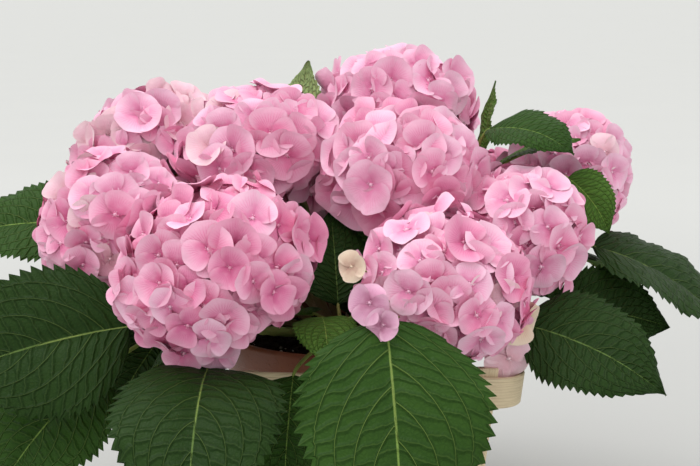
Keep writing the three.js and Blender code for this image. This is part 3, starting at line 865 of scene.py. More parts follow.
def pot_finish(colour):
    """Matt moulded plastic, scuffed, with a trace of soil in its pores."""
    made = Finish("Terracotta plastic", roughness=0.5, specular=0.4)
    place = made.place()
    cloud = made.noise(place, 14.0, 5.0)
    speckle = made.smooth(made.noise(place, 420.0, 2.0), 0.55, 0.8)
    dust = made.smooth(made.noise(made.stretched(place, (1, 1, 0.25)), 60.0, 4.0), 0.58, 0.85)
    shade = made.vary(cloud, colour, (0.8, 0.75, 0.7), (1.25, 1.3, 1.35))
    shade = made.over(shade, speckle, 0.35, scaled(colour, 0.5, 0.5, 0.55))
    shade = made.over(shade, dust, 0.3, scaled(colour, 1.7, 2.3, 2.9))
    return made.finish(shade, made.line(cloud, 2.0, speckle), 0.0003, made.line(dust, 0.25, 0.45))


def soil_finish(name, colour):
    made = Finish(name, roughness=0.95, specular=0.2)
    place = made.place()
    crumbs = made.cells(place, 260.0, "F1")
    fibres = made.smooth(made.noise(made.stretched(place, (1, 0.2, 1)), 420.0, 3.0), 0.6, 0.8)
    shade = made.vary(made.noise(place, 30.0, 4.0), colour, (0.6, 0.6, 0.6), (1.9, 1.8, 1.7))
    shade = made.over(shade, fibres, 0.6, scaled(colour, 5.0, 4.6, 4.0))
    return made.finish(shade, made.math("ADD", crumbs, fibres), 0.002)


def perlite_finish():
    made = Finish("Perlite", roughness=0.9, specular=0.3)
    pits = made.noise(made.place(), 900.0, 3.0)
    return made.finish(made.mix(pits, (0.5, 0.48, 0.44), (0.82, 0.8, 0.76)), pits, 0.0005)


def floor_finish(colour):
    """Pale, with painted shade that makes it a little darker round the plant."""
    made = Finish("Pale floor", roughness=0.9, specular=0.15)
    place = made.place()
    tone = made.vary(made.noise(place, 3.0, 3.0), colour, (0.985, 0.985, 0.985), (1.015, 1.015, 1.015))
    away = made.node("ShaderNodeVectorMath", {0: place}, operation="LENGTH").outputs["Value"]
    # Painted shade: the floor is darker within about two metres of the plant, darkest close to it.
    return made.finish(made.over(tone, made.less(away, 0.3, 2.2), 0.26, scaled(colour, 0.4, 0.4, 0.4)))


# The holder.

def half_width(z):
    return FOOT_HALF_WIDTH + z * SIDE_LEAN


def turned(points):
    """Points turned about the upright axis by the holder's turn."""
    cos, sin = math.cos(HOLDER_TURN), math.sin(HOLDER_TURN)
    x, y, z = np.moveaxis(np.asarray(points, float), -1, 0)
    return np.stack([x * cos - y * sin, x * sin + y * cos, z], axis=-1)


def eased_rectangle(low, high, ease):
    """The corners of a rectangle, each cut off by a small slope."""
    (x0, y0), (x1, y1) = low, high
    return [
        (x0 + ease, y0), (x1 - ease, y0), (x1, y0 + ease), (x1, y1 - ease),
        (x1 - ease, y1), (x0 + ease, y1), (x0, y1 - ease), (x0, y0 + ease),
    ]


def around_lengths(corners):
    """Places round a closed outline on the map, in metres."""
    return steps_along(np.array([*corners, corners[0]], float))


def post_build(side_x, side_y):
    ease = 1.0

    def ring(z, inset):
        outer, middle = half_width(z), POST_OFFSET + z * SIDE_LEAN
        low = (middle - POST_WIDTH / 2 + inset, outer - POST_THICKNESS + inset)
        high = (middle + POST_WIDTH / 2 - inset, outer - inset)
        return [(side_x * x, side_y * y, z) for x, y in eased_rectangle(low, high, ease)]

    levels = [0, ease, POST_HEIGHT / 2, POST_HEIGHT - ease, POST_HEIGHT]
    rings = [ring(z, ease * 0.6 if z in (0, POST_HEIGHT) else 0) for z in levels]
    return lofted(turned(rings), np.array(levels) * MM, around_lengths(np.array(rings[1])[:, :2]))


def rounded_square(half, radius):
    """Points round a square with round corners."""
    turns = np.linspace(0, 1, HOLDER_CORNER_STEPS + 1) * math.pi / 2
    angles = np.concatenate([corner * math.pi / 2 + turns for corner in range(4)])
    centres = np.repeat([(1, 1), (-1, 1), (-1, -1), (1, -1)], len(turns), axis=0) * (half - radius)
    return centres + radius * np.stack([np.cos(angles), np.sin(angles)], axis=1)


def hoop_build(bottom):
    section = eased_rectangle((0, 0), (HOOP_THICKNESS, HOOP_HEIGHT), HOOP_EASE)
    outlines = []
    for offset, rise in section:
        level = bottom + rise
        x, y = rounded_square(half_width(level) + 2 * GAP + offset, HOOP_CORNER_RADIUS + offset).T
        z = level - x * HOOP_SLOPE
        growth = half_width(z) / half_width(level)
        outlines.append(np.stack([x * growth, y * growth, z], axis=1))
    rings = np.stack(outlines, axis=1)
    middles = rings.mean(1)
    along = steps_along(np.vstack([middles, middles[:1]]))
    return lofted(turned(rings), along, around_lengths(section), closed=True)


def floor_board_build():
    half = FOOT_HALF_WIDTH - POST_THICKNESS - GAP
    levels = np.array([0, FLOOR_EASE, FLOOR_THICKNESS - FLOOR_EASE, FLOOR_THICKNESS])
    rings = []
    for z, inset in zip(levels, (FLOOR_EASE, 0, 0, FLOOR_EASE)):
        outline = rounded_square(half - inset, FLOOR_CORNER_RADIUS - inset)
        rings.append(np.column_stack([outline, np.full(len(outline), z)]))
    return lofted(turned(rings), levels * MM, around_lengths(rings[1][:, :2]))


def settle(piece, slot, *nodes):
    """Fixes a finished piece to the part's one body, in place of the named nodes."""
    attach(piece, "root")
    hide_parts(*nodes)
    return piece


class HYDRANGEA_OT_holder(bpy.types.Operator):
    """Builds the wooden holder: four posts, two bentwood hoops and a floor board"""
    bl_idname = "hydrangea.holder"
    bl_label = "Wooden Holder"

    def execute(self, context):
        wood = wood_finish(tuple(context.scene.hydrangea_holder.wood))
        parts = {
            "holder_floor": floor_board_build(),
            "holder_hoop_upper": hoop_build(UPPER_HOOP_BOTTOM),
            "holder_hoop_lower": hoop_build(LOWER_HOOP_BOTTOM),
        }
        for depth, side_y in (("front", -1), ("back", 1)):
            for side, side_x in (("left", -1), ("right", 1)):
                parts[f"holder_post_{depth}_{side}"] = post_build(side_x, side_y)
        for node, build in parts.items():
            piece = show("wood_" + node, build.mesh(node, "Grain", [wood], sharp=30))
            settle(piece, "holder_wood", node)
        return {"FINISHED"}


# The pot.

def pot_wall_radius(z):
    share = (z - POT_BOTTOM) / (POT_TOP - POT_BOTTOM)
    return POT_FOOT_RADIUS + (POT_TOP_RADIUS - POT_RIM_STEP - POT_FOOT_RADIUS) * share


def pot_profile():
    """The wall of the pot, from the middle underneath, up outside, over the rim and down inside."""
    foot, rim_foot, floor = POT_BOTTOM, POT_TOP - POT_RIM_HEIGHT, POT_BOTTOM + POT_WALL
    ledge = pot_wall_radius(rim_foot) + POT_RIM_STEP
    outer = [
        (POLE, foot + 1), (POT_FOOT_RADIUS * 0.6, foot + 1), (POT_FOOT_RADIUS * 0.7, foot),
        (POT_FOOT_RADIUS - 1.5, foot), (POT_FOOT_RADIUS, foot + 1.5),
    ]
    wall = [(pot_wall_radius(z), z) for z in np.linspace(foot + 20, rim_foot - 0.6, 6)]
    rim = [
        (ledge - 0.6, rim_foot), (ledge, rim_foot + 0.8),
        (POT_TOP_RADIUS - 0.4, POT_TOP - 4), (POT_TOP_RADIUS, POT_TOP - 3), (POT_TOP_RADIUS, POT_TOP - 1),
        (POT_TOP_RADIUS - 0.8, POT_TOP), (POT_TOP_RADIUS - POT_RIM_WALL + 0.8, POT_TOP),
        (POT_TOP_RADIUS - POT_RIM_WALL, POT_TOP - 1),
    ]
    inner = [(pot_wall_radius(z) - POT_WALL, z) for z in np.linspace(rim_foot - 4, floor + 2, 4)]
    return outer + wall + rim + inner + [(pot_wall_radius(floor) - POT_WALL - 2, floor), (POLE, floor)]


class HYDRANGEA_OT_pot(bpy.types.Operator):
    """Turns the terracotta-coloured pot"""
    bl_idname = "hydrangea.pot"
    bl_label = "Pot"

    def execute(self, context):
        profile = np.array(pot_profile())
        rings = [circle(radius, z, POT_SIDES) for radius, z in profile]
        around = np.linspace(0, math.tau * POT_TOP_RADIUS * MM, POT_SIDES + 1)
        build = lofted(rings, steps_along(profile), around)
        finish = pot_finish(tuple(context.scene.hydrangea_holder.pot))
        settle(show("pot_wall", build.mesh("pot_wall", "Wall", [finish], sharp=40)), "pot", "pot")
        return {"FINISHED"}


# The soil.

SOIL_STEPS = 36
SOIL_DOME = 2.5
SOIL_RIPPLES = 1.6
SOIL_SINK = 2.2  # leaves room for the ripples and the crumbs
SOIL_SEED = 5
LEVEL_ENOUGH = 0.7  # the upward share of a face's normal, above which crumbs lie on it
CRUMB_DENTS = (0.75, 1.2)
CRUMB_SIDE = 1.2  # corners of an undented crumb that are nearer than this share an edge


def ripple(x, y):
    """A smooth uneven height between about -1 and 1, repeatable at any place."""
    return (
        np.sin(x * 0.11 + 1.3) * np.cos(y * 0.13 - 0.7) * 0.5
        + np.sin(x * 0.31 - y * 0.23 + 2.1) * 0.25
        + np.sin(y * 0.57 + x * 0.41) * np.cos(x * 0.63) * 0.25
    )


def soil_build():
    edge = POT_TOP_RADIUS - POT_RIM_WALL - 2
    below = [(POLE, SOIL_BOTTOM), (edge - 4, SOIL_BOTTOM), (edge - 0.5, SOIL_TOP - 4)]
    rings = [circle(radius, z, POT_SIDES) for radius, z in below]
    for step in range(SOIL_STEPS, -1, -1):
        radius = max(POLE, edge * step / SOIL_STEPS)
        ring = circle(radius, SOIL_TOP - SOIL_SINK - SOIL_DOME * (radius / edge) ** 2, POT_SIDES)
        ring[:, 2] += ripple(ring[:, 0], ring[:, 1]) * SOIL_RIPPLES * min(1, radius / 8)
        rings.append(ring)
    along = np.arange(len(rings)) * edge / SOIL_STEPS * MM
    return lofted(rings, along, np.linspace(0, math.tau * edge * MM, POT_SIDES + 1))


def lump(name, material, rng, stretch):
    """A crumb: a small ball of twenty faces, dented at random."""
    golden = (1 + math.sqrt(5)) / 2
    points = unit([
        np.roll((x, y * golden, 0), shift) for shift in range(3) for x in (-1, 1) for y in (-1, 1)
    ])
    faces = []
    for a, b, c in itertools.combinations(range(12), 3):
        corners = points[[a, b, c]]
        if np.linalg.norm(corners - corners[[1, 2, 0]], axis=1).max() < CRUMB_SIDE:
            outwards = np.cross(corners[1] - corners[0], corners[2] - corners[0]) @ corners[0] > 0
            faces.append((a, b, c) if outwards else (a, c, b))
    points = points * rng.uniform(*CRUMB_DENTS, (12, 1)) * np.array(stretch) / 2
    mesh = bpy.data.meshes.new(name)
    mesh.from_pydata(points.tolist(), [], faces)
    mesh.materials.append(material)
    return show(name, mesh)


class Scatter(Nodes):
    """Geometry nodes that set small shapes on a mesh, with named inputs for their sizes."""

    def __init__(self, name, sizes):
        super().__init__(bpy.data.node_groups.new(name, "GeometryNodeTree"))
        self.socket("Geometry", "NodeSocketGeometry", "INPUT")
        self.keys = {}
        for size, value in sizes.items():
            socket = self.socket(size, "NodeSocketFloat", "INPUT")
            socket.default_value = value
            self.keys[size] = socket.identifier
        self.socket("Geometry", "NodeSocketGeometry", "OUTPUT")
        self.given = self.node("NodeGroupInput", {}).outputs

    def socket(self, name, kind, way):
        return self.tree.interface.new_socket(name=name, in_out=way, socket_type=kind)

    def strewn(self, inputs):
        """Shapes set on points, as plain geometry."""
        placed = self.node("GeometryNodeInstanceOnPoints", inputs)
        return self.node("GeometryNodeRealizeInstances", {0: placed.outputs[0]}).outputs[0]

    def painted(self, geometry, material, where=True):
        return self.node("GeometryNodeSetMaterial", {
            "Geometry": geometry, "Selection": where, "Material": material,
        }).outputs[0]

    def end(self, geometry):
        self.node("NodeGroupOutput", {0: geometry})
        return self

    def grown(self, name, base, sizes):
        """The plain mesh that the nodes make of another mesh."""
        piece = show(name + "_base", base)
        modifier = piece.modifiers.new("Scatter", "NODES")
        modifier.node_group = self.tree
        for size, value in sizes.items():
            modifier[self.keys[size]] = value
        graph = bpy.context.evaluated_depsgraph_get()
        mesh = bpy.data.meshes.new_from_object(
            piece.evaluated_get(graph), preserve_all_data_layers=True, depsgraph=graph,
        )
        mesh.name = name
        piece.modifiers.clear()
        bpy.data.objects.remove(piece)
        return mesh


def crumb_nodes(name, seed, material, crumb, sizes):
    """Nodes that strew crumbs over the upper side of a mesh."""
    made = Scatter(name, sizes)
    normal = made.node("GeometryNodeInputNormal", {}).outputs[0]
    upwards = made.node("ShaderNodeSeparateXYZ", {0: normal}).outputs[2]
    level = made.node(
        "FunctionNodeCompare", {0: upwards, 1: LEVEL_ENOUGH}, data_type="FLOAT", operation="GREATER_THAN",
    )
    points = made.node("GeometryNodeDistributePointsOnFaces", {
        "Mesh": made.given["Geometry"], "Selection": level.outputs[0],
        "Density": made.given["Density"], "Seed": seed,
    })
    turn = made.node("FunctionNodeRandomValue", {
        1: (math.tau, math.tau, math.tau), "Seed": seed + 1,
    }, data_type="FLOAT_VECTOR")
    size = made.node("FunctionNodeRandomValue", {
        2: made.given["Least size"], 3: made.given["Largest size"], "Seed": seed + 2,
    }, data_type="FLOAT")
    shape = made.node("GeometryNodeObjectInfo", {"Object": crumb})
    crumbs = made.strewn({
        "Points": points.outputs["Points"], "Instance": shape.outputs["Geometry"],
        "Rotation": turn.outputs[0], "Scale": size.outputs[1],
    })
    return made.end(made.painted(crumbs, material))


class HYDRANGEA_OT_soil(bpy.types.Operator):
    """Fills the pot with dark soil, strewn with crumbs and white grains"""
    bl_idname = "hydrangea.soil"
    bl_label = "Potting Soil"

    def execute(self, context):
        colour = tuple(context.scene.hydrangea_holder.soil)
        dark = soil_finish("Potting soil", colour)
        rng = np.random.default_rng(SOIL_SEED)
        surface = soil_build().mesh("soil_surface", "Wall", [dark], sharp=50)
        settle(show("soil_surface", surface), "soil", "potting_soil")
        kinds = (
            ("soil_crumbs", dark, (1, 0.8, 0.7), 34000.0, 0.0025, 0.0065),
            ("perlite_grains", perlite_finish(), (1, 0.9, 0.8), 2600.0, 0.002, 0.0042),
        )
        for order, (name, material, stretch, density, low, high) in enumerate(kinds):
            crumb = lump(name + "_shape", material, rng, stretch)
            sizes = {"Density": density, "Least size": low, "Largest size": high}
            nodes = crumb_nodes(name, order * 10, material, crumb, sizes)
            mesh = nodes.grown(name, surface.copy(), sizes)
            bpy.data.objects.remove(crumb)
            settle(show(name, mesh), "soil", "potting_soil")
        return {"FINISHED"}


# The stems.

STEM_RINGS = 34
STEM_SIDES = 14
STEM_RIDGES = 0.035
NODE_SWELLING = 0.16
NODE_SPREAD = 0.012
FOOT_SWELLING = 0.15
FOOT_SPREAD = 0.03
PETIOLE_SIDES = 8
PETIOLE_LENGTH = 130  # of the leaf whose petiole has the radii below
PETIOLE_RADII = (1.9, 1.45)
RIB_RADII = (1.35, 0.3)


def stem_nodes(shoots):
    """The solids that the plant's stems stand in for."""
    return [prefix + shoot.name for shoot in shoots for prefix in ("stem_", "leaves_")]


def stem_tube(build, shoot):
    shares = np.linspace(0, 1, STEM_RINGS)
    path = on_curve(shoot.stem, shares)
    radii = STEM_FOOT_RADIUS + (STEM_TIP_RADIUS - STEM_FOOT_RADIUS) * shares
    for at in LEAF_NODES:
        radii = radii * (1 + NODE_SWELLING * np.exp(-((shares - at) / NODE_SPREAD) ** 2))
    radii = radii * (1 + FOOT_SWELLING * np.exp(-shares / FOOT_SPREAD))
    path[0, 2] = SOIL_TOP - 4
    tube(build, path, radii, STEM_SIDES, ridges=STEM_RIDGES)


def petiole_tube(build, leaf):
    """The petiole, which runs on as the midrib under the blade."""
    line = on_curve(petiole_line(leaf), np.linspace(0, 0.97, 10))
    rib = on_leaf(leaf, np.linspace(0.02, 0.9, 12), np.zeros(12), np.full(12, -1.2))
    radii = np.concatenate([np.linspace(*PETIOLE_RADII, 10), np.linspace(*RIB_RADII, 12)])
    radii = radii * (leaf.length / PETIOLE_LENGTH) ** 0.4
    tube(build, np.vstack([line, rib]), radii, PETIOLE_SIDES, number=1)


class HYDRANGEA_OT_stems(bpy.types.Operator):
    """Grows the stems out of the soil, and the leaf stalks from their nodes"""
    bl_idname = "hydrangea.stems"
    bl_label = "Stems"

    def execute(self, context):
        colours = context.scene.hydrangea_stems
        green, brown = tuple(colours.green), tuple(colours.brown)
        shoots, _ = plan()
        build = Build()
        for shoot in shoots:
            stem_tube(build, shoot)
            for leaf in shoot.leaves:
                petiole_tube(build, leaf)
        finishes = [
            stem_finish("Green stem", green, brown, 0.05),
            stem_finish("Leaf stalk", scaled(green, 1.25, 1.35, 1.1), scaled(green, 0.9, 0.6, 0.6), 0.012),
        ]
        piece = show("stems", build.mesh("stems", "Grain", finishes, sharp=80))
        settle(piece, "stems", *stem_nodes(shoots))
        return {"FINISHED"}


# The leaves.

VEINS = 6.6
VEIN_START = 0.035
VEIN_SLOPE = 0.14
VEIN_LEAN = 0.55
VEIN_CURVE = 0.2
VEIN_STEP = 0.4
# The blade's relief, as shares of its length.
QUILT_HEIGHT = 0.0105
CHANNEL_DEPTH = 0.005
WAVE_HEIGHT = 0.02
FLUTTER_HEIGHT = 0.006
CROSS_HEIGHT = 0.0018
TOOTH_HEIGHT = 0.1  # of the half width
TOOTH_SLANT = 0.012
BLADE_ROWS = 60
BLADE_COLUMNS = 18
LEAVES_A_PIECE = 30
LEAF_SEED = 375
YOUNG_LENGTH = 70  # leaves under this length are still light green
NEW_BACKLIT_SHOOT = "crown_middle"  # its leaves have only just unfolded and are paler still; part of their pallor is painted light, standing in for light shining through them
# The numbers of the leaves' finishes: the dark ones are dealt out at random.
DARK_TINTS = 2
FRESH_TINT = 2
NEW_BACKLIT_TINT = 3


def blade_relief(u, v, length, phase):
    """The rise of the blade between its veins, its channel and the waves of its edge."""
    bow = np.abs(v) * (VEIN_SLOPE + VEIN_LEAN * u + VEIN_CURVE * np.abs(v))
    place = (u - bow - VEIN_START) * VEINS + VEIN_STEP * np.clip(v * 25 + 0.5, 0, 1)
    rise = np.abs(np.sin(math.pi * place)) ** 0.7 * (1 - np.exp(-(v / 0.1) ** 2))
    swell = (1 - np.abs(v) ** 4) * np.sin(math.pi * np.clip(u, 0, 1)) ** 0.4
    channel = -CHANNEL_DEPTH * np.exp(-(v / 0.07) ** 2)
    wave = WAVE_HEIGHT * np.abs(v) ** 2.2 * np.sin(u * 13 + phase + np.sign(v) * 1.3)
    flutter = FLUTTER_HEIGHT * np.abs(v) ** 4 * np.sin(u * 41 + phase * 3)
    cross = CROSS_HEIGHT * np.sin(np.abs(v) * 24 + place * 2) * swell
    return length * (QUILT_HEIGHT * rise * swell + channel + wave + flutter + cross)


def blade_build(build, leaf, thickness, phase, upper, under):
    """One leaf as a closed skin. Every third row of it ends in a tooth that points forward."""
    columns = np.linspace(-1, 1, BLADE_COLUMNS + 1)
    rows = np.linspace(0.0008, 0.9992, BLADE_ROWS + 1)
    u, v = np.meshgrid(rows, columns, indexing="ij")
    tooth = np.arange(BLADE_ROWS + 1) % 3 / 2 * np.clip(np.sin(math.pi * rows) * 1.6, 0, 1)
    tooth = tooth[:, None]
    edge = np.abs(v) ** 14
    toothed_u = np.clip(u + tooth * edge * TOOTH_SLANT, 0, 1)
    toothed_v = v * (1 + (tooth - 0.4) * TOOTH_HEIGHT * edge)
    lift = blade_relief(u, v, leaf.length, phase)
    half = thickness / 2 * (1 - 0.5 * np.abs(v))
    half[:, [0, -1]] = 0
    top = on_leaf(leaf, toothed_u, toothed_v, lift + half)
    bottom = on_leaf(leaf, toothed_u, toothed_v, lift - half)
    rings = np.concatenate([top, bottom[:, -2:0:-1]], axis=1)
    size = rings.shape[1]
    points = rings.reshape(-1, 3)
    across = np.concatenate([columns, columns[-2:0:-1]]) * 0.5 + 0.5
    faces, corners, numbers = [], [], []
    for row in range(BLADE_ROWS):
        for step in range(size):
            turn = (step + 1) % size
            here, there = row * size, (row + 1) * size
            faces.append([here + step, there + step, there + turn, here + turn])
            corners += [
                (across[step], rows[row]), (across[step], rows[row + 1]),
                (across[turn], rows[row + 1]), (across[turn], rows[row]),
            ]
            numbers.append(upper if step <= BLADE_COLUMNS or step == size - 1 else under)
    for row, order in ((0, range(size)), (BLADE_ROWS, range(size - 1, -1, -1))):
        faces.append([row * size + step for step in order])
        corners += [(across[step], rows[row]) for step in order]
        numbers.append(under)
    build.add(points, faces, corners, numbers)


class HYDRANGEA_OT_leaves(bpy.types.Operator):
    """Grows the toothed, quilted leaves"""
    bl_idname = "hydrangea.leaves"
    bl_label = "Leaves"

    def execute(self, context):
        looks = context.scene.hydrangea_leaves
        upper, vein, under = tuple(looks.upper), tuple(looks.vein), tuple(looks.under)
        finishes = [
            leaf_upper_finish("Leaf dark", scaled(upper, 0.62, 0.6, 0.75), scaled(vein, 0.6, 0.62, 0.7)),
            leaf_upper_finish("Leaf green", upper, vein),
            leaf_upper_finish("Leaf fresh", scaled(upper, 2.8, 2.3, 2.4), scaled(vein, 1.5, 1.35, 1.3)),
            # The new leaves' pale green is partly their own and partly painted light, standing in for light
            # shining through them.
            leaf_upper_finish("Leaf new", scaled(upper, 9.5, 5.0, 13.0), scaled(vein, 2.9, 1.9, 4.0)),
            leaf_under_finish("Leaf underside", under, scaled(under, 1.9, 1.5, 1.7)),
        ]
        shoots, _ = plan()
        rng = np.random.default_rng(LEAF_SEED)
        build, count, nodes, pieces = Build(), 0, [], 0
        for order, shoot in enumerate(shoots):
            for leaf in shoot.leaves:
                tint = int(rng.integers(DARK_TINTS))
                phase = rng.uniform(0, math.tau)
                if leaf.length < YOUNG_LENGTH:
                    tint = FRESH_TINT
                if shoot.name == NEW_BACKLIT_SHOOT:
                    tint = NEW_BACKLIT_TINT
                blade_build(build, leaf, looks.thickness / MM, phase, tint, len(finishes) - 1)
                count += 1
            nodes.append("leaves_" + shoot.name)
            if count >= LEAVES_A_PIECE or order == len(shoots) - 1:
                mesh = build.mesh(f"leaves_{pieces}", "Leaf", finishes, sharp=70)
                bake_cells(mesh, "Leaf", len(finishes))
                settle(show(f"foliage_{pieces}", mesh), "leaves", *nodes)
                build, count, nodes, pieces = Build(), 0, [], pieces + 1
        return {"FINISHED"}


# The flower heads.

PETALS = 4
# A petal's shape, as shares of its length or in radians. A pair gives the bounds of a random value.
PETAL_SIZE = (0.9, 1.08)
PETAL_WIDTH = (0.67, 0.79)
PETAL_BEND = (0.15, 0.75)
PETAL_CUP = (-0.02, 0.26)
PETAL_POINT = 0.09  # at most
PETAL_CREASE = 0.035  # at most
PETAL_WAVE = 0.035
PETAL_TURN = 0.14
PETAL_RISE = 0.02
FLATTEST_BOWL = 0.04
BOWL_RANGE = 0.54
BOWL_SPREAD = 0.1
TINTS = ["blush", "rose", "deep", "cream", "faded", "mauve", "inner"]
FLORET_SHAPES = 9
FLORET_SEED = 23
# The outer florets and those that show between them: the name, the steps along a petal, and the share of
# the way from the head's middle to its surface.
FLORET_KINDS = (("florets", 7, 0.875), ("inner_florets", 4, 0.76))
FLORET_SIZES = (0.86, 1.12)
FLORET_TILT = 0.19
LEAST_SHARE = 0.84  # a floret that a neighbouring head would push in further than this is left out
LAYERS = (-0.075, -0.01, 0.05)  # florets overlap, so neighbours sit at different depths
LAYER_JITTER = 0.015
CROWN_SINK = 0.16  # the florets on the crown of a head stand up, so they sit lower in it
FLAT_CROWNS = {"upper_left": 0.34}
COVER = math.radians(130)  # how far down from a head's crown its florets reach
TO_THE_LIGHT = np.array([0, -0.32, 0])  # the front florets of a head turn a little to the front
HEADS_A_PIECE = 3
STAMENS = 6
FLORET_MIDDLE = (0.5, 0.98)  # the bead's and the stamens' place on the petals' map
BRANCHES = 9  # of a stem's tip, inside its head
STALK_RINGS = 5
BRANCH_RADII = (1.9, 1.2)
STALK_RADII = (0.95, 0.6)


def petal_skin(rng, turn, rise, steps, size, bowl):
    """One petal of a floret, as points and faces, with its map. It is an egg-shaped disc that rises
    from its foot by the angle of the bowl and bends back."""
    across, along = np.meshgrid(np.linspace(-1, 1, steps + 1), np.linspace(-1, 1, steps + 1))
    side = across * np.sqrt(1 - along * along / 2)
    share = (along * np.sqrt(1 - across * across / 2) + 1) / 2
    rise_angle = bowl + rng.normal(0, BOWL_SPREAD)
    bend = rng.uniform(*PETAL_BEND)
    slope = rise_angle - bend * share
    out = (math.sin(rise_angle) - np.sin(slope)) / bend * size
    lift = (np.cos(slope) - math.cos(rise_angle)) / bend * size
    half = size * rng.uniform(*PETAL_WIDTH)
    tip = rng.uniform(0, PETAL_POINT) * size * np.exp(-(side / 0.3) ** 2) * share ** 6
    cup = rng.uniform(*PETAL_CUP)
    crease = rng.uniform(0, PETAL_CREASE) * (1 - np.exp(-(side / 0.22) ** 2))
    phase = rng.uniform(0, math.tau)
    wave = PETAL_WAVE * np.sin(side * 3.6 + phase + share * 2.2) * share ** 2
    x = out + tip
    y = side * half * (0.7 + 0.42 * share)
    z = lift + rise + size * (cup * side ** 2 * share + crease + wave)
    points = np.stack([
        x * math.cos(turn) - y * math.sin(turn), x * math.sin(turn) + y * math.cos(turn), z,
    ], axis=-1).reshape(-1, 3)
    places = np.stack([side * 0.5 + 0.5, share], axis=-1).reshape(-1, 2)
    wide = steps + 1
    faces = [
        [first, first + wide, first + wide + 1, first + 1]
        for row in range(steps) for first in range(row * wide, row * wide + steps)
    ]
    return points, faces, [tuple(places[i]) for face in faces for i in face]


def bead_and_stamens(detailed):
    """The middle of a floret: a bead, and round it a few stamens, each a thin spindle."""
    points, faces = [], []
    around = 6
    angles = np.arange(around) / around * math.tau
    for radius, height in ((0.026, 0.0), (0.046, 0.024), (0.034, 0.05), (0.005, 0.062)):
        points += [(radius * math.cos(a), radius * math.sin(a), height) for a in angles]
    for ring in range(3):
        for step in range(around):
            turn = (step + 1) % around
            here, there = ring * around, (ring + 1) * around
            faces.append([here + step, here + turn, there + turn, there + step])
    for order in range(STAMENS if detailed else 0):
        angle = (order + 0.4 * (order % 2)) * math.tau / STAMENS
        way = np.array([math.cos(angle) * 0.75, math.sin(angle) * 0.75, 0.66])
        side = np.array([-math.sin(angle), math.cos(angle), 0])
        over = np.cross(way, side)
        start = len(points)
        rim = [side * math.cos(a) + over * math.sin(a) for a in (0, 2.1, 4.2)]
        points += [way * 0.02, *(way * 0.085 + point * 0.012 for point in rim), way * 0.1]
        for step in range(3):
            turn = (step + 1) % 3
            faces.append([start, start + 1 + turn, start + 1 + step])
            faces.append([start + 4, start + 1 + step, start + 1 + turn])
    return np.array(points), faces


def floret_shape(name, rng, steps, bowl, detailed, finishes):
    """A floret one unit wide that faces up: four petals, two over two, round a bead."""
    build = Build()
    for order in range(PETALS):
        turn = order * math.tau / PETALS + rng.uniform(-PETAL_TURN, PETAL_TURN)
        rise = PETAL_RISE * (order % 2)
        size = 0.5 * rng.uniform(*PETAL_SIZE)
        build.add(*petal_skin(rng, turn, rise, steps, size, bowl))
    points, faces = bead_and_stamens(detailed)
    build.add(points, faces, [FLORET_MIDDLE for face in faces for _ in face])
    return build.mesh(name, "Petal", finishes, sharp=180, scale=1)


def facing(normal, spin):
    """The turn that points a floret along a normal, as angles about X, Y and Z."""
    side = unit(np.cross(normal, UP if abs(normal[2]) < 0.9 else np.array([1.0, 0, 0])))
    over = np.cross(normal, side)
    first = side * math.cos(spin) + over * math.sin(spin)
    second = np.cross(normal, first)
    return Matrix(np.stack([first, second, normal], axis=1).tolist()).to_euler("XYZ")


def floret_places(shoot, heads, rng, spacing, level, inner):
    """Where a head's florets sit, each with its turn, size, tint and shape."""
    count = int(math.tau * shoot.radius ** 2 * (1 - math.cos(COVER)) / spacing ** 2)
    weights = HEAD_TINTS.get(shoot.name, OTHER_HEAD_TINTS)
    sink = FLAT_CROWNS.get(shoot.name, CROWN_SINK)
    rows = []
    for order in range(count):
        polar = math.acos(1 - (1 - math.cos(COVER)) * (order + 0.5) / count)
        reach = shoot.reach(polar, order * GOLDEN_ANGLE)
        depth = level + LAYERS[order % 3] + rng.uniform(-LAYER_JITTER, LAYER_JITTER)
        depth = depth - sink * max(0, math.cos(polar))
        tint = len(TINTS) - 1 if inner else int(rng.choice(len(weights), p=weights))
        spin = rng.uniform(0, math.tau)
        size = rng.uniform(*FLORET_SIZES) * HEAD_FLORETS.get(shoot.name, 1.0)
        tilt = rng.normal(0, FLORET_TILT, 3)
        shape = int(rng.integers(FLORET_SHAPES))
        share = share_before_neighbours(shoot, reach * depth, heads)
        if share < LEAST_SHARE:
            continue
        outward = unit(
            shoot.sideways * (reach @ shoot.sideways) / shoot.radius ** 2
            + shoot.forwards * (reach @ shoot.forwards) / shoot.radius ** 2
            + shoot.axis * (reach @ shoot.axis) / shoot.height ** 2
        )
        normal = unit(outward + tilt + TO_THE_LIGHT * (outward[1] < 0.2))
        rows.append((shoot.head + reach * depth * share, normal, spin, size, tint, shape))
    if inner:
        return rows
    for head, place, tint, size in FADED:
        if head == shoot.name:
            place = np.array(place, float)
            normal = unit(unit(place - shoot.head) * 0.5 + np.array([0, -1, 0.1]))
            rows.append((place, normal, 0.6 + len(rows), size, TINTS.index(tint), len(rows) % 4))
    return rows


def floret_nodes(collection, finishes):
    """Nodes that set a floret on every point, by the point's own turn, size and shape."""
    made = Scatter("Floret scatter", {"Floret width": 0.04})

    def read(name, kind):
        node = made.node("GeometryNodeInputNamedAttribute", {"Name": name}, data_type=kind)
        return node.outputs["Attribute"]

    shapes = made.node("GeometryNodeCollectionInfo", {
        "Collection": collection, "Separate Children": True, "Reset Children": True,
    })
    florets = made.strewn({
        "Points": made.given["Geometry"], "Instance": shapes.outputs[0],
        "Pick Instance": True, "Instance Index": read("shape", "INT"),
        "Rotation": read("turn", "FLOAT_VECTOR"),
        "Scale": made.times(read("size", "FLOAT"), made.given["Floret width"]),
    })
    tint = read("tint", "INT")
    for number, finish in enumerate(finishes):
        same = made.node("FunctionNodeCompare", {2: tint, 3: number}, data_type="INT", operation="EQUAL")
        florets = made.painted(florets, finish, same.outputs[0])
    return made.end(florets)


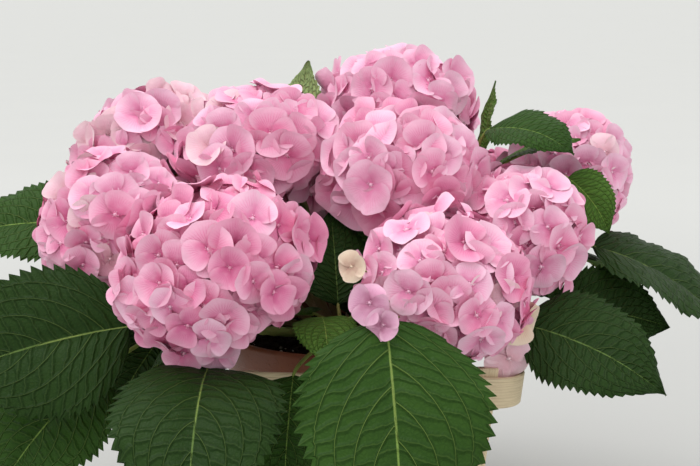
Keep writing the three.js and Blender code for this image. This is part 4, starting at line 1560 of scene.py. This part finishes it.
def floret_points(name, rows):
    """A mesh of loose points that carry what the floret nodes read."""
    places, normals, spins, *numbers = zip(*rows)
    mesh = bpy.data.meshes.new(name)
    mesh.from_pydata([tuple(place * MM) for place in places], [], [])
    turns = np.array([facing(*turn) for turn in zip(normals, spins)], np.float32)
    mesh.attributes.new("turn", "FLOAT_VECTOR", "POINT").data.foreach_set("vector", turns.ravel())
    kinds = (("size", "FLOAT"), ("tint", "INT"), ("shape", "INT"))
    for (key, kind), values in zip(kinds, numbers):
        mesh.attributes.new(key, kind, "POINT").data.foreach_set("value", values)
    return mesh


def floret_stalks(build, shoot, rows):
    """Thin stalks that branch from the stem's tip and carry the florets."""
    tip = shoot.stem[-1]
    hubs = []

    def stalk(start, bend, end, radii, sides):
        path = on_curve([start, bend, end], np.linspace(0, 1, STALK_RINGS))
        tube(build, path, np.linspace(*radii, STALK_RINGS), sides)

    for order in range(BRANCHES):
        polar = math.acos(1 - (1 - math.cos(COVER)) * (order + 0.5) / BRANCHES)
        hubs.append(tip * 0.62 + (shoot.head + shoot.reach(polar, order * GOLDEN_ANGLE) * 0.75) * 0.38)
    hubs = np.array(hubs)
    for hub in hubs:
        stalk(tip - shoot.axis * 2, (tip + hub) / 2 + shoot.axis * 3, hub, BRANCH_RADII, 6)
    for place, normal, *_ in rows:
        hub = hubs[int(np.linalg.norm(hubs - place, axis=1).argmin())]
        bend = place - normal * np.linalg.norm(place - hub) * 0.45
        stalk(hub, bend, place - normal * 0.5, STALK_RADII, 4)


def petal_finishes(looks):
    petal, heart, rim = tuple(looks.petal), tuple(looks.heart), tuple(looks.rim)
    return [
        petal_finish(
            "Petal blush", scaled(petal, 1.05, 1.24, 1.17),
            scaled(heart, 1.1, 1.45, 1.3), scaled(rim, 1.03, 1.16, 1.12),
        ),
        petal_finish("Petal rose", petal, heart, rim),
        petal_finish(
            "Petal deep rose", scaled(petal, 0.93, 0.74, 0.83),
            scaled(heart, 0.9, 0.75, 0.85), scaled(rim, 0.97, 0.82, 0.88),
        ),
        petal_finish(
            "Petal cream", scaled(petal, 1.02, 1.5, 1.2),
            scaled(petal, 0.98, 1.2, 0.95), scaled(rim, 1.0, 1.25, 1.05),
        ),
        petal_finish("Petal faded", (0.84, 0.66, 0.5), (0.7, 0.44, 0.34), (0.88, 0.75, 0.6)),
        petal_finish("Petal mauve", (0.76, 0.38, 0.56), (0.56, 0.18, 0.32), (0.82, 0.5, 0.64)),
        # Painted shade: the inner florets, deep in the gaps between the outer ones, are a slightly deeper
        # pink.
        petal_finish(
            "Petal inner", scaled(petal, 0.98, 0.86, 0.92),
            scaled(heart, 0.95, 0.8, 0.9), scaled(rim, 0.96, 0.86, 0.92),
        ),
    ]


def floret_layers(finishes, rng):
    """The layers of florets, each with its name, its level, its shapes and the nodes that set them."""
    layers = []
    for kind, steps, level in FLORET_KINDS:
        collection = bpy.data.collections.new(kind + "_shapes")
        for order in range(FLORET_SHAPES):
            name = f"{kind}_shape_{order}"
            bowl = FLATTEST_BOWL + BOWL_RANGE * order / FLORET_SHAPES
            mesh = floret_shape(name, rng, steps, bowl, kind == "florets", finishes)
            collection.objects.link(bpy.data.objects.new(name, mesh))
        layers.append((kind, level, collection, floret_nodes(collection, finishes)))
    return layers


class HYDRANGEA_OT_flowers(bpy.types.Operator):
    """Covers the flower heads with four-petalled florets on thin stalks"""
    bl_idname = "hydrangea.flowers"
    bl_label = "Flower Heads"

    def execute(self, context):
        looks = context.scene.hydrangea_flowers
        finishes = petal_finishes(looks)
        _, heads = plan()
        rng = np.random.default_rng(FLORET_SEED)
        layers = floret_layers(finishes, rng)
        stalks = Build()
        for first in range(0, len(heads), HEADS_A_PIECE):
            group = heads[first:first + HEADS_A_PIECE]
            rows = {kind: [] for kind, *_ in layers}
            for shoot in group:
                for kind, level, *_ in layers:
                    inner = kind != "florets"
                    places = floret_places(shoot, heads, rng, looks.spacing / MM, level, inner)
                    rows[kind] += places
                    if not inner:
                        floret_stalks(stalks, shoot, places)
            for kind, _, _, nodes in layers:
                name = f"{kind}_{first // HEADS_A_PIECE}"
                points = floret_points(name + "_points", rows[kind])
                mesh = nodes.grown(name, points, {"Floret width": looks.floret_width})
                bake_cells(mesh, "Petal", len(mesh.materials))
                settle(show(name, mesh), "flowers", *("flower_" + shoot.name for shoot in group))
        colours = context.scene.hydrangea_stems
        green = scaled(tuple(colours.green), 1.5, 1.3, 1.3)
        brown = scaled(tuple(colours.brown), 1.5, 1.0, 1.2)
        finish = stem_finish("Floret stalk", green, brown, 0.02)
        piece = show("floret_stalks", stalks.mesh("floret_stalks", "Grain", [finish], sharp=80))
        settle(piece, "stems", *("flower_" + shoot.name for shoot in heads))
        for _, _, collection, _ in layers:
            for shape in list(collection.objects):
                bpy.data.objects.remove(shape)
            bpy.data.collections.remove(collection)
        return {"FINISHED"}


# The stage.

LOOKED_AT = (0.0, 0.0, 0.264)
FLOOR_RADIUS = 200  # metres
FLOOR_SIDES = 96


def area_light(name, place, size, power, colour):
    lamp = bpy.data.lights.new(name, "AREA")
    lamp.shape = "DISK"
    lamp.size = size
    lamp.energy = power
    lamp.color = colour
    light = show(name, lamp)
    light.location = place
    towards = Vector(LOOKED_AT) - Vector(place)
    light.rotation_euler = towards.to_track_quat("-Z", "Y").to_euler()


class HYDRANGEA_OT_stage(bpy.types.Operator):
    """Sets up the pale floor, the soft light and the camera"""
    bl_idname = "hydrangea.stage"
    bl_label = "Stage"

    def execute(self, context):
        settings = context.scene.hydrangea_stage
        mesh = bpy.data.meshes.new("floor")
        mesh.from_pydata(circle(FLOOR_RADIUS, 0.0, FLOOR_SIDES).tolist(), [], [list(range(FLOOR_SIDES))])
        mesh.materials.append(floor_finish(tuple(settings.floor)))
        floor = show("floor", mesh)
        world = bpy.data.worlds.new("Soft studio")
        world.use_nodes = True
        sky = world.node_tree.nodes["Background"].inputs
        sky["Color"].default_value = (0.95, 0.95, 0.94, 1)
        sky["Strength"].default_value = 0.9
        context.scene.world = world
        area_light("Key", (-1.2, -0.8, 2.5), 1.6, 12, (1, 0.99, 0.97))
        area_light("Fill", (2.0, -1.8, 1.2), 2.2, 5, (0.97, 0.98, 1))
        lamp = bpy.data.lights.new("Overhead", "SUN")
        lamp.energy = 1.4
        lamp.angle = math.radians(50)
        show("Overhead", lamp).rotation_euler = (math.radians(-6), math.radians(-14), 0)
        camera = bpy.data.cameras.new("Camera")
        camera.lens = 70
        camera.sensor_width = 36
        view = show("Camera", camera)
        back = (0, -math.cos(settings.elevation), math.sin(settings.elevation))
        view.location = Vector(LOOKED_AT) + Vector(back) * settings.distance
        view.rotation_euler = (math.pi / 2 - settings.elevation, 0, 0)
        context.scene.camera = view
        context.scene.view_settings.view_transform = "Standard"
        return {"FINISHED"}


OPERATORS = (
    HYDRANGEA_OT_stage, HYDRANGEA_OT_holder, HYDRANGEA_OT_pot, HYDRANGEA_OT_soil,
    HYDRANGEA_OT_stems, HYDRANGEA_OT_leaves, HYDRANGEA_OT_flowers,
)
SETTINGS = {
    "hydrangea_flowers": FlowerSettings,
    "hydrangea_leaves": LeafSettings,
    "hydrangea_stems": StemSettings,
    "hydrangea_holder": HolderSettings,
    "hydrangea_stage": StageSettings,
}


class HYDRANGEA_PT_panel(bpy.types.Panel):
    """Lists the pieces of the plant with their settings"""
    bl_label = "Hydrangea"
    bl_idname = "HYDRANGEA_PT_panel"
    bl_space_type = "VIEW_3D"
    bl_region_type = "UI"
    bl_category = "Hydrangea"

    def draw(self, context):
        for operator in OPERATORS:
            self.layout.operator(operator.bl_idname)
        for name, group in SETTINGS.items():
            box = self.layout.box()
            for setting in group.__annotations__:
                box.prop(getattr(context.scene, name), setting)


GROWN = []


def plan():
    """The grown shoots and the flowering ones among them, worked out once."""
    if not GROWN:
        GROWN.extend(grow())
    return GROWN


def register():
    for group in (*SETTINGS.values(), *OPERATORS, HYDRANGEA_PT_panel):
        bpy.utils.register_class(group)
    for name, group in SETTINGS.items():
        setattr(bpy.types.Scene, name, bpy.props.PointerProperty(type=group))


def unregister():
    for name in SETTINGS:
        delattr(bpy.types.Scene, name)
    for group in (HYDRANGEA_PT_panel, *reversed(OPERATORS), *SETTINGS.values()):
        bpy.utils.unregister_class(group)


def main():
    register()
    bpy.ops.hydrangea.stage()
    bpy.ops.hydrangea.holder()
    bpy.ops.hydrangea.pot()
    bpy.ops.hydrangea.soil()
    bpy.ops.hydrangea.stems()
    bpy.ops.hydrangea.leaves()
    bpy.ops.hydrangea.flowers()


if __name__ == "__main__":
    main()
